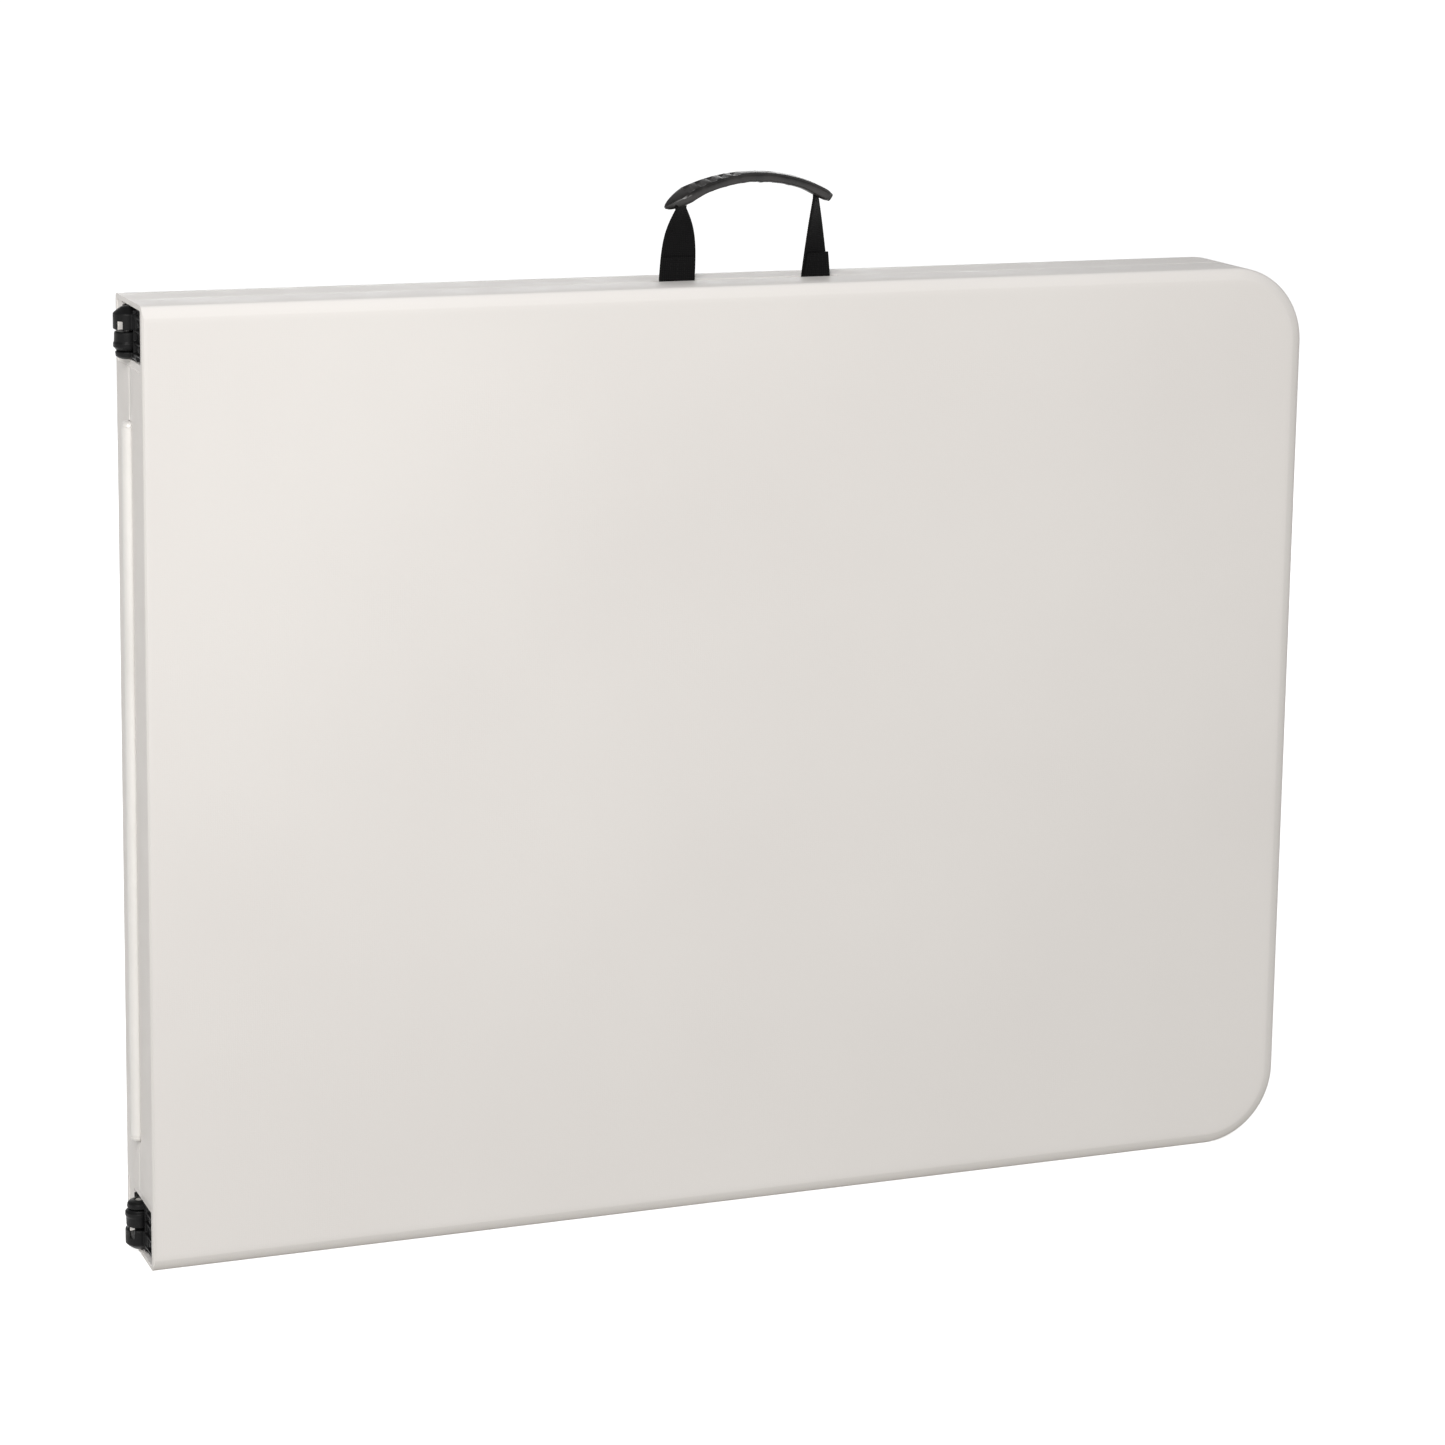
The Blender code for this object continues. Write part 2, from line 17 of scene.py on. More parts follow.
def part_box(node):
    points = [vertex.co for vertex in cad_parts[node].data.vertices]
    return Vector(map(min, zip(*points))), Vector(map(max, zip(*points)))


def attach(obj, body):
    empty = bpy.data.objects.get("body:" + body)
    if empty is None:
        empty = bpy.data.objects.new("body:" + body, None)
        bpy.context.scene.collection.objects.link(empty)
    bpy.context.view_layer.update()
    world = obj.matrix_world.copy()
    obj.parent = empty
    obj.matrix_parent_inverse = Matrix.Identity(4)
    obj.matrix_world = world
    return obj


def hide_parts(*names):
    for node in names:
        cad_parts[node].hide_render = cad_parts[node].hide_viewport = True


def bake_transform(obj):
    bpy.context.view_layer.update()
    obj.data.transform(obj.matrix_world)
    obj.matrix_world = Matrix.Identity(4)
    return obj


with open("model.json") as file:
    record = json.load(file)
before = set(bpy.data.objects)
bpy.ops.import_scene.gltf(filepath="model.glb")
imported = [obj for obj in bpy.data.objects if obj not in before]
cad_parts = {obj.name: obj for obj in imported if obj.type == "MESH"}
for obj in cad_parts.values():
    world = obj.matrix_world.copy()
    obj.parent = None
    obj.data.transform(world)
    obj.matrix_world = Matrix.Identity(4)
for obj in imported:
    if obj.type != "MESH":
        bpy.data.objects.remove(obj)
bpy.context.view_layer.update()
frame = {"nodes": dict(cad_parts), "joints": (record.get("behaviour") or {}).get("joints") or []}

# ---------------------------------------------------------------- sizes read from the frame
JOINTS = {j["name"]: j for j in frame["joints"]}
FOLD = Vector(JOINTS["center_fold"]["pos_m"])
SWING = Vector(JOINTS["handle_swing"]["pos_m"])
PANEL_LOW, PANEL_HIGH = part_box("panel_a")
HALF_LENGTH = PANEL_HIGH.x - FOLD.x
FOLD_GAP = PANEL_LOW.x - FOLD.x
WIDTH = PANEL_HIGH.z - PANEL_LOW.z
HALF_WIDTH = WIDTH / 2
THICK = FOLD.y - PANEL_LOW.y
SEAM = FOLD.y - PANEL_HIGH.y
SIDE = {"a": -1.0, "b": 1.0}
BODY = {"a": "half_a", "b": "half_b"}
LEG_PIVOT = Vector(JOINTS["leg_a_fold"]["pos_m"])
EDGE_Z = PANEL_HIGH.z
PIVOT_U = LEG_PIVOT.x - FOLD.x
LEG_H = FOLD.y - LEG_PIVOT.y

# ---------------------------------------------------------------- sizes shared with the solids
CORNER = 0.059
BEVEL = 0.009
BEVEL_DEPTH = 0.0052
WALL = 0.014
FOLD_WALL = 0.016
DRAFT = 0.003
CORE_H = 0.0345
POCKET = (0.0037, 0.0425)             # hinge pocket, measured in from each long edge
POCKET_U = 0.0125
POCKET_H = {"a": 0.0365, "b": 0.0220}
STEP_END = 0.048                      # shallow step beside the pocket
STEP_DEPTH = 0.0012
GROOVE_R = 0.0060
GROOVE_INSET = 0.086
NOTCH = (0.150, 0.0035, 0.030)        # handle notch: length, depth into the rim, height below the edge
HANDLE_U = SWING.x - FOLD.x
KNUCKLE_R = 0.0105
HINGE_SPAN = (0.0042, 0.042)          # hinge block, measured in from each long edge
HINGE_FACE = 0.0007                   # only knuckles reach past this, so the table opens flat
HINGE_BASE_U = (0.0030, 0.012)
HINGE_BASE_H = {"a": (0.0117, 0.036), "b": (0.0117, 0.0215)}
PIN_R = 0.0034
LEG_R = 0.010
LEG_LENGTH = 0.686
FOOT_R = 0.0106
FOOT_LENGTH = 0.030
POST_V = {"a": 0.250, "b": 0.285}
CROSSBAR_RHO = 0.250
CROSSBAR_R = 0.007
PLATE_END = 0.3008
BRACKET_H = 0.0342                    # back of the brackets, at the floor of the recess
BRACKET_SCREWS = (0.0155, 0.0065)     # from the leg's pivot or the brace's, towards the fold
PLATE_SCREW_V = 0.3046
FORK_SCREW_V = 0.012
RAIL_U = (0.050, 0.855)
RAIL_V = (0.2985, 0.3125)
RAIL_H = (0.0142, 0.0342)
TUBE_R = 0.0055
FORK_U = PIVOT_U - 0.300


def place(half, u, h, v):
    """The point of the frame at u, h, v on a half of the closed table."""
    return Vector((FOLD.x + u, FOLD.y + SIDE[half] * h, PANEL_LOW.z + HALF_WIDTH + v))


# ================================================================ materials
class Nodes:
    """Small helper that adds nodes to one material and joins them by name."""

    def __init__(self, name):
        self.mat = bpy.data.materials.new(name)
        self.mat.use_nodes = True
        self.tree = self.mat.node_tree
        self.shader = self.tree.nodes["Principled BSDF"]
        self.coords = self.tree.nodes.new("ShaderNodeTexCoord")

    def add(self, kind, inputs=None, **settings):
        node = self.tree.nodes.new("ShaderNode" + kind)
        for key, value in settings.items():
            setattr(node, key, value)
        for key, value in (inputs or {}).items():
            if isinstance(value, bpy.types.NodeSocket):
                self.tree.links.new(value, node.inputs[key])
            else:
                node.inputs[key].default_value = value
        return node

    def noise(self, scale, detail, roughness=0.5):
        inputs = {"Vector": self.coords.outputs["Object"], "Scale": scale}
        inputs |= {"Detail": detail, "Roughness": roughness}
        return self.add("TexNoise", inputs).outputs["Fac"]

    def ramp(self, fac, low, high, start=0.3, stop=0.7):
        """Colour ramp between two colours."""
        node = self.add("ValToRGB", {"Fac": fac})
        stops = node.color_ramp.elements
        stops[0].position, stops[1].position = start, stop
        stops[0].color, stops[1].color = (*low, 1), (*high, 1)
        return node.outputs["Color"]

    def spread(self, fac, low, high, start=0.3, stop=0.7):
        """Map a factor onto a range of values."""
        node = self.add("MapRange", {"Value": fac})
        for key, value in zip(("From Min", "From Max", "To Min", "To Max"), (start, stop, low, high)):
            node.inputs[key].default_value = value
        return node.outputs["Result"]

    def math(self, operation, a, b):
        return self.add("Math", {0: a, 1: b}, operation=operation).outputs["Value"]

    def wave(self, vector, scale, distortion, direction, **detail):
        """Straight bands across one direction."""
        inputs = {"Vector": vector, "Scale": scale, "Distortion": distortion, **detail}
        return self.add("TexWave", inputs, bands_direction=direction).outputs["Fac"]

    def bump(self, height, strength, distance):
        inputs = {"Height": height, "Strength": strength, "Distance": distance}
        return self.add("Bump", inputs).outputs["Normal"]

    def set(self, **values):
        """Set the shader's sockets, with _ for a space in their names, and return the material."""
        for key, value in values.items():
            key = key.replace("_", " ")
            if isinstance(value, bpy.types.NodeSocket):
                self.tree.links.new(value, self.shader.inputs[key])
            else:
                self.shader.inputs[key].default_value = value
        return self.mat


def moulded_hdpe():
    """Off-white blow-moulded plastic with a fine pebbled and faintly woven grain."""
    n = Nodes("hdpe_skin")
    cloud = n.noise(2.6, 4.0)
    colour = n.ramp(cloud, (0.80, 0.775, 0.755), (0.845, 0.822, 0.80))
    pebble = n.noise(620.0, 2.0, 0.6)
    at = n.coords.outputs["Object"]
    across, along = (n.wave(at, 190.0, 2.2, direction, Detail=1.0) for direction in "XZ")
    weave = n.math("MULTIPLY", across, along)
    height = n.math("ADD", n.math("MULTIPLY", weave, 0.45), pebble)
    normal = n.bump(height, 0.32, 0.00016)
    rough = n.spread(n.noise(42.0, 5.0), 0.46, 0.60)
    return n.set(Base_Color=colour, Roughness=rough, Normal=normal, IOR=1.50, Specular_IOR_Level=0.2)


def powder_coat(name, low, high, rough=(0.38, 0.52)):
    """Baked paint on steel: slight orange peel and uneven gloss."""
    n = Nodes(name)
    colour = n.ramp(n.noise(14.0, 4.0), low, high)
    peel = n.noise(420.0, 2.0)
    normal = n.bump(peel, 0.25, 0.00012)
    gloss = n.spread(n.noise(60.0, 4.0), *rough)
    n.set(Base_Color=colour, Roughness=gloss, Normal=normal)
    return n.set(Metallic=0.15, Coat_Weight=0.15, Coat_Roughness=0.3)


def black_plastic(name, rough=(0.34, 0.55), grain=0.22):
    """Near-black finish with a fine grain, for moulded plastic, black-oxide steel and thread."""
    n = Nodes(name)
    colour = n.ramp(n.noise(90.0, 3.0), (0.0022, 0.0022, 0.0025), (0.0060, 0.0060, 0.0064))
    normal = n.bump(n.noise(1500.0, 2.0), grain, 0.00010)
    gloss = n.spread(n.noise(130.0, 3.0), *rough)
    return n.set(Base_Color=colour, Roughness=gloss, Normal=normal, Specular_IOR_Level=0.16)


def woven_webbing():
    """Black polypropylene webbing: ribs along the strap crossed by fine weft rows."""
    n = Nodes("webbing_weave")
    uv = n.coords.outputs["UV"]
    weave = n.math("MULTIPLY", n.wave(uv, 190.0, 0.4, "X"), n.wave(uv, 230.0, 0.6, "Y"))
    colour = n.ramp(weave, (0.0018, 0.0018, 0.0020), (0.0085, 0.0080, 0.0082), 0.1, 0.8)
    fuzz = n.noise(1900.0, 3.0)
    normal = n.bump(n.math("ADD", weave, n.math("MULTIPLY", fuzz, 0.35)), 0.6, 0.00022)
    gloss = n.spread(fuzz, 0.62, 0.85)
    return n.set(Base_Color=colour, Roughness=gloss, Normal=normal, Specular_IOR_Level=0.12)


def worn_grip():
    """Soft black grip, polished by hands in smeared patches."""
    n = Nodes("grip_rubber")
    smear = n.noise(75.0, 5.0, 0.6)
    colour = n.ramp(smear, (0.006, 0.0055, 0.0055), (0.030, 0.027, 0.026), 0.35, 0.75)
    normal = n.bump(n.noise(800.0, 2.0), 0.3, 0.00012)
    gloss = n.spread(smear, 0.24, 0.50)
    return n.set(Base_Color=colour, Roughness=gloss, Normal=normal, Specular_IOR_Level=0.5)


def zinc():
    """Bright zinc-plated hardware with a mottled passivated film."""
    n = Nodes("zinc_plate")
    colour = n.ramp(n.noise(260.0, 4.0), (0.48, 0.48, 0.47), (0.66, 0.65, 0.62))
    gloss = n.spread(n.noise(340.0, 3.0), 0.24, 0.42)
    normal = n.bump(n.noise(1200.0, 2.0), 0.15, 0.00006)
    return n.set(Base_Color=colour, Roughness=gloss, Normal=normal, Metallic=0.95)


HDPE = moulded_hdpe()
STEEL = powder_coat("grey_powder_coat", (0.27, 0.275, 0.28), (0.34, 0.345, 0.35))
PALE = powder_coat("pale_tube_paint", (0.72, 0.705, 0.68), (0.79, 0.775, 0.75), (0.34, 0.46))
PLASTIC = black_plastic("black_moulding")
WEBBING = woven_webbing()
GRIP = worn_grip()
ZINC = zinc()
BLACK_OXIDE = black_plastic("black_oxide", (0.26, 0.40), 0.1)
THREAD = black_plastic("black_thread", (0.55, 0.75), 0.1)


# ================================================================ mesh helpers
def finish_piece(name, bm, mat, body, nodes=(), sharp=32):
    """Turn a bmesh into a piece; with a body named, it rides on that body."""
    bmesh.ops.remove_doubles(bm, verts=bm.verts, dist=1e-7)
    bmesh.ops.recalc_face_normals(bm, faces=bm.faces)
    mesh = bpy.data.meshes.new(name)
    bm.to_mesh(mesh)
    bm.free()
    return finish_mesh(name, mesh, mat, body, nodes, sharp)


def finish_mesh(name, mesh, mat, body, nodes=(), sharp=32):
    """The same for a mesh: nodes are the CAD nodes that it replaces, sharp is in degrees."""
    mesh.shade_smooth()
    mesh.set_sharp_from_angle(angle=math.radians(sharp))
    mesh.materials.clear()
    mesh.materials.append(mat)
    obj = bpy.data.objects.new(name, mesh)
    bpy.context.scene.collection.objects.link(obj)
    if body:
        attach(obj, body)
    if nodes:
        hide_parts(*nodes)
    return obj


def ring_faces(bm, low, high):
    """Join two closed rings of as many vertices with four-sided faces."""
    count = len(low)
    for i in range(count):
        j = (i + 1) % count
        bm.faces.new((low[i], low[j], high[j], high[i]))


def loft(bm, loops, cap=True):
    """Skin a row of closed loops of points, and return their rings of vertices."""
    rings = [[bm.verts.new(p) for p in loop] for loop in loops]
    for low, high in zip(rings, rings[1:]):
        ring_faces(bm, low, high)
    if cap:
        bm.faces.new(list(reversed(rings[0])))
        bm.faces.new(rings[-1])
    return rings


def turned(bm, start, axis, profile, sides=32):
    """Lathe a closed solid: profile is (distance along the axis, radius), from one end to the other."""
    axis = axis.normalized()
    across = axis.orthogonal().normalized()
    other = axis.cross(across)
    loops = []
    for along, radius in profile:
        turn = [2 * math.pi * k / sides for k in range(sides)]
        centre = start + axis * along
        loops.append([centre + (across * math.cos(t) + other * math.sin(t)) * radius for t in turn])
    loft(bm, loops)


def eased_bar(start, end, radius, ease):
    """Lathe profile of a bar whose end edges are rounded."""
    length = (end - start).length
    steps = [math.radians(a) for a in (0, 30, 60, 90)]
    rise = [(ease * (1 - math.cos(a)), radius - ease + ease * math.sin(a)) for a in steps]
    return rise + [(length - x, r) for x, r in reversed(rise)]


def bar(bm, start, end, radius, ease, sides=32):
    """Round bar between two points."""
    turned(bm, start, end - start, eased_bar(start, end, radius, ease), sides)


def half_block(bm, half, u, h, v, bevel):
    """Box between two values each of u, h and v, its edges rounded."""
    low, high = (place(half, u[k], h[k], v[k]) for k in (0, 1))
    low, high = ([f(a, b) for a, b in zip(low, high)] for f in (min, max))
    made = bmesh.ops.create_cube(bm, size=1.0)
    bmesh.ops.scale(bm, vec=[b - a for a, b in zip(low, high)], verts=made["verts"])
    bmesh.ops.translate(bm, vec=[(a + b) / 2 for a, b in zip(low, high)], verts=made["verts"])
    edges = {e for v in made["verts"] for e in v.link_edges}
    bmesh.ops.bevel(bm, geom=list(edges), offset=bevel, segments=3, profile=0.5, affect="EDGES")


def temporary(bm):
    """A mesh object that only lives while a modifier is applied."""
    bmesh.ops.recalc_face_normals(bm, faces=bm.faces)
    mesh = bpy.data.meshes.new("temporary")
    bm.to_mesh(mesh)
    bm.free()
    obj = bpy.data.objects.new("temporary", mesh)
    bpy.context.scene.collection.objects.link(obj)
    return obj


def baked(obj):
    """The object's mesh with its modifiers applied; the object is removed."""
    bpy.context.view_layer.update()
    seen = obj.evaluated_get(bpy.context.evaluated_depsgraph_get())
    mesh = bpy.data.meshes.new_from_object(seen)
    bpy.data.objects.remove(obj, do_unlink=True)
    return mesh


def cut(target, *tools):
    """Subtract closed bmeshes from the target object and return the resulting mesh."""
    made = []
    for bm in tools:
        tool = temporary(bm)
        mod = target.modifiers.new("cut", "BOOLEAN")
        mod.operation = "DIFFERENCE"
        mod.solver = "EXACT"
        mod.object = tool
        made.append(tool)
    mesh = baked(target)
    for tool in made:
        bpy.data.objects.remove(tool, do_unlink=True)
    return mesh


def fused(bm, voxel, rounds):
    """Melt overlapping solids into one moulded skin with softened edges."""
    obj = temporary(bm)
    melt = obj.modifiers.new("melt", "REMESH")
    melt.mode = "VOXEL"
    melt.voxel_size = voxel
    soft = obj.modifiers.new("soft", "SMOOTH")
    soft.iterations = rounds
    soft.factor = 0.5
    return obj


def arc(cx, cy, radius, start, stop, steps):
    """Points on a circle between two angles in degrees."""
    turn = [math.radians(start + (stop - start) * i / steps) for i in range(steps + 1)]
    return [(cx + radius * math.cos(t), cy + radius * math.sin(t)) for t in turn]


# ================================================================ table-top skins
def outline(inset, fold_inset):
    """Plan of one half as (u, v): square at the fold, rounded at the outer end."""
    edge = HALF_WIDTH - inset
    centre_u, centre_v = HALF_LENGTH - CORNER, HALF_WIDTH - CORNER
    low = arc(centre_u, -centre_v, CORNER - inset, -90, 0, 28)
    high = arc(centre_u, centre_v, CORNER - inset, 0, 90, 28)
    fold_u = FOLD_GAP + fold_inset
    return [(fold_u, -edge)] + low + high + [(fold_u, edge)]


DIMPLE_R = 0.0088
DIMPLE_DEPTH = 0.0046
DIMPLE_FIELD = ((0.030, 0.875), (-0.322, 0.322))
DIMPLE_ROWS = (18, 14)
# Section of a dimple from its rim inwards: part of its radius, part of its depth.
DIMPLE_SECTION = ((1.10, 0.0), (1.0, 0.10), (0.90, 0.45), (0.78, 0.85), (0.62, 1.0))
TILE_STEPS = 4                        # vertices along one side of a dimple's tile


def dimple_field(bm, half):
    """Underside with the rows of kiss-off dimples that tie the two skins together.

    Each tile is a square whose rim points run down into a round dimple. Returns the outer edges.
    """
    (u0, u1), (v0, v1) = DIMPLE_FIELD
    step_u, step_v = (u1 - u0) / DIMPLE_ROWS[0], (v1 - v0) / DIMPLE_ROWS[1]
    shared = {}

    def point(u, v, h=CORE_H):
        key = (round(u * 1e6), round(v * 1e6), round(h * 1e6))
        if key not in shared:
            shared[key] = bm.verts.new(place(half, u, h, v))
        return shared[key]

    for i in range(DIMPLE_ROWS[0]):
        for j in range(DIMPLE_ROWS[1]):
            cu, cv = u0 + (i + 0.5) * step_u, v0 + (j + 0.5) * step_v
            rim = []
            corners = ((-1, -1), (1, -1), (1, 1), (-1, 1))
            for (ax, ay), (bx, by) in zip(corners, corners[1:] + corners[:1]):
                for k in range(TILE_STEPS):
                    x, y = (a + (b - a) * k / TILE_STEPS for a, b in ((ax, bx), (ay, by)))
                    rim.append((cu + x * step_u / 2, cv + y * step_v / 2, x, y))
            outer = [point(u, v) for u, v, _, _ in rim]
            for scale, sink in DIMPLE_SECTION:
                ring = []
                for _, _, x, y in rim:
                    turn = math.atan2(y, x)
                    reach = DIMPLE_R * scale
                    h = CORE_H + DIMPLE_DEPTH * sink
                    ring.append(point(cu + reach * math.cos(turn), cv + reach * math.sin(turn), h))
                ring_faces(bm, outer, ring)
                outer = ring
            bm.faces.new(outer)
    bm.edges.ensure_lookup_table()
    return [e for e in bm.edges if len(e.link_faces) == 1]


RIM_R = 0.0014                        # rounding of the rim at the seam
FACE_MARGIN = 0.004                   # flat border where the table-top face is closed
# Section of the moulded edge, from the side wall to the face: part of the depth, part of the width.
EDGE_SECTION = ((0.00, 0.02), (0.10, 0.03), (0.25, 0.07), (0.40, 0.16), (0.56, 0.30), (0.72, 0.48))
EDGE_SECTION += ((0.84, 0.67), (0.93, 0.84), (0.98, 0.94), (1.0, 1.0))


def skin_profile():
    """(h, inset, fold inset) from the recess floor, over the rim and round to the table-top face."""
    steps = [math.radians(a) for a in (0, 22.5, 45, 67.5, 90)]
    rows = [(CORE_H - 0.0030, WALL + DRAFT * 0.92, FOLD_WALL + DRAFT * 0.92)]
    rows += [(SEAM + 0.0100, WALL + DRAFT * 0.2, FOLD_WALL + DRAFT * 0.2)]
    for a in steps:
        h, back = SEAM + RIM_R - RIM_R * math.sin(a), RIM_R * (1 - math.cos(a))
        rows.append((h, WALL - back, FOLD_WALL - back))
    for a in reversed(steps):
        h, back = SEAM + RIM_R - RIM_R * math.sin(a), RIM_R * (1 - math.cos(a))
        rows.append((h, back, min(back, 0.0006)))
    rows += [(THICK - BEVEL_DEPTH - 0.012, 0.0, 0.0), (THICK - BEVEL_DEPTH - 0.0008, 0.0, 0.0)]
    for rise, run in EDGE_SECTION:
        fold = RIM_R * max(rise - 0.55, 0) / 0.45
        rows.append((THICK - BEVEL_DEPTH * (1 - rise), BEVEL * run, fold))
    rows.append((THICK, BEVEL + FACE_MARGIN, FACE_MARGIN))
    return rows


def tabletop(half):
    """Hollow moulded half with its dimpled underside, hinge pockets, tube groove and handle notch."""
    bm = bmesh.new()
    inner_edges = dimple_field(bm, half)
    rows = skin_profile()
    floor = [(CORE_H - 0.0009, WALL + DRAFT + 0.0006, FOLD_WALL + DRAFT + 0.0006)]
    floor += [(CORE_H, WALL + DRAFT + 0.0022, FOLD_WALL + DRAFT + 0.0022)]
    loops = [[place(half, u, h, v) for u, v in outline(i, f)] for h, i, f in list(reversed(floor)) + rows]
    rings = loft(bm, loops, cap=False)
    bm.faces.new(rings[-1])
    floor_edges = [bm.edges.get((a, b)) for a, b in zip(rings[0], rings[0][1:] + rings[0][:1])]
    bmesh.ops.triangle_fill(bm, use_beauty=True, edges=floor_edges + inner_edges)
    target = temporary(bm)

    pockets = bmesh.new()
    for s in (-1, 1):
        v = (s * (HALF_WIDTH - POCKET[1]), s * (HALF_WIDTH - POCKET[0]))
        half_block(pockets, half, (-0.01, POCKET_U), (-0.01, POCKET_H[half]), v, 0.0012)
    steps = bmesh.new()
    for s in (-1, 1):
        v = (s * (HALF_WIDTH - STEP_END), s * (HALF_WIDTH - POCKET[0] - 0.0004))
        half_block(steps, half, (-0.01, STEP_DEPTH), (-0.01, POCKET_H["a"]), v, 0.0004)
    groove = bmesh.new()
    reach = HALF_WIDTH - GROOVE_INSET
    bar(groove, place(half, 0, 0, -reach), place(half, 0, 0, reach), GROOVE_R, 0.003, 40)
    notch = bmesh.new()
    span = (HANDLE_U - NOTCH[0] / 2, HANDLE_U + NOTCH[0] / 2)
    half_block(notch, half, span, (-0.01, NOTCH[1]), (HALF_WIDTH - NOTCH[2], HALF_WIDTH + 0.01), 0.0012)
    mesh = cut(target, pockets, steps, groove, notch)
    finish_mesh(f"tabletop_{half}", mesh, HDPE, BODY[half], [f"panel_{half}"], 40)


# ================================================================ fold hinges
def from_edge(s, distance):
    """v of a place that is `distance` in from the lower (s = -1) or upper (s = 1) long edge."""
    return s * (HALF_WIDTH - distance)


def knuckle(bm, half, s, profile, gusset):
    """Lug turned about the fold axis, profile as (distance from the edge, radius), with its web."""
    start = place(half, 0, 0, from_edge(s, profile[0][0]))
    axis = Vector((0, 0, -s))
    turned(bm, start, axis, [(d - profile[0][0], r) for d, r in profile], 48)
    span = (profile[0][0] + gusset, profile[-1][0] - 0.0006)
    v = [from_edge(s, d) for d in span]
    half_block(bm, half, (0.0012, 0.0112), (0.0, 0.020), v, 0.0008)


# Turned outlines of the three lugs: the outer one is domed, the last one is the smallest.
OUTER_LUG = ((0.0042, 0.0026), (0.0050, 0.0048), (0.0066, 0.0072), (0.0084, 0.0094))
OUTER_LUG += ((0.0096, KNUCKLE_R), (0.0201, KNUCKLE_R), (0.0210, 0.0098))
MIDDLE_LUG = ((0.0222, 0.0086), (0.0229, 0.0097), (0.0298, 0.0099), (0.0304, KNUCKLE_R))
MIDDLE_LUG += ((0.0334, KNUCKLE_R), (0.0341, 0.0094), (0.0355, 0.0086))
INNER_LUG = ((0.0360, 0.0082), (0.0368, 0.0092), (0.0398, 0.0088), (0.0412, 0.0070), (0.0420, 0.0044))
HINGE_LUGS = {"a": (OUTER_LUG, INNER_LUG), "b": (MIDDLE_LUG,)}
HOOK_SLOT = (0.0146, 0.0222)          # see-through slot between the pin and the outer lug's hook
HOOK_SLOT_U = (-0.0072, -0.0036)
HOOK_SLOT_TURN = math.radians(13)     # the slot runs slightly across
# Distances in from the long edge along a hinge block.
HINGE_RIBS = (0.0105, 0.0200, 0.0290, 0.0370)
HINGE_FLANGES = (0.0060, 0.0402)
HINGE_SCREWS = (0.0152, 0.0330)
HINGE_BORE = (0.0062, 0.05)
RIB_BACK_U = 0.006                    # the ribs run back into the base as far as this
RIB_HALF = 0.0009
FLANGE_HALF = 0.0008


def hinge(half, s):
    """Moulded block let into the fold wall: base with ribs, lugs around the pin, an open hook."""
    label = "upper" if s > 0 else "lower"
    low_h, high_h = HINGE_BASE_H[half]
    bm = bmesh.new()
    ends = [from_edge(s, d) for d in HINGE_SPAN]
    half_block(bm, half, HINGE_BASE_U, HINGE_BASE_H[half], ends, 0.0012)
    rib_u = (HINGE_FACE, RIB_BACK_U)
    for rib in HINGE_RIBS:
        v = [from_edge(s, rib + side * RIB_HALF) for side in (-1, 1)]
        half_block(bm, half, rib_u, (low_h + 0.0005, high_h - 0.0015), v, 0.0005)
    for edge in (low_h + 0.0018, high_h - 0.0015):
        span = [from_edge(s, d) for d in HINGE_FLANGES]
        half_block(bm, half, rib_u, (edge - FLANGE_HALF, edge + FLANGE_HALF), span, 0.0005)
    for lug in HINGE_LUGS[half]:
        knuckle(bm, half, s, lug, 0.0045 if lug is OUTER_LUG else 0.0006)
    block_obj = fused(bm, 0.00045, 4)

    bore = bmesh.new()
    start, end = (place(half, 0, 0, from_edge(s, d)) for d in HINGE_BORE)
    bar(bore, start, end, PIN_R, 0.0002)
    tools = [bore]
    if half == "a":
        slot = bmesh.new()
        v = [from_edge(s, d) for d in HOOK_SLOT]
        half_block(slot, half, HOOK_SLOT_U, (-0.02, 0.02), v, 0.0006)
        centre = place(half, sum(HOOK_SLOT_U) / 2, 0, 0)
        turn = Matrix.Rotation(-HOOK_SLOT_TURN, 4, "Z")
        bmesh.ops.rotate(slot, cent=centre, matrix=turn, verts=slot.verts)
        tools.append(slot)
    mesh = cut(block_obj, *tools)
    nodes = [f"hinge_{half}_{label}"]
    finish_mesh(f"hinge_block_{half}_{label}", mesh, PLASTIC, BODY[half], nodes, 50)

    heads = bmesh.new()
    for d in HINGE_SCREWS:
        seat = place(half, HINGE_BASE_U[0] + 0.0002, (low_h + high_h) / 2, from_edge(s, d))
        screw(heads, seat, Vector((-1, 0, 0)), 0.0026)
    finish_piece(f"hinge_screws_{half}_{label}", heads, BLACK_OXIDE, BODY[half], ())


# Screw head as parts of its radius: height above the seat, distance from the axis.
SCREW_SECTION = ((0.0, 1.0), (0.16, 1.0), (0.38, 0.92), (0.54, 0.74), (0.62, 0.48))
SCREW_SECTION += ((0.60, 0.40), (0.20, 0.28))


def screw(bm, seat, axis, radius):
    """Pan head with a round driver recess, standing on its seat."""
    turned(bm, seat, axis, [(along * radius, r * radius) for along, r in SCREW_SECTION], 20)


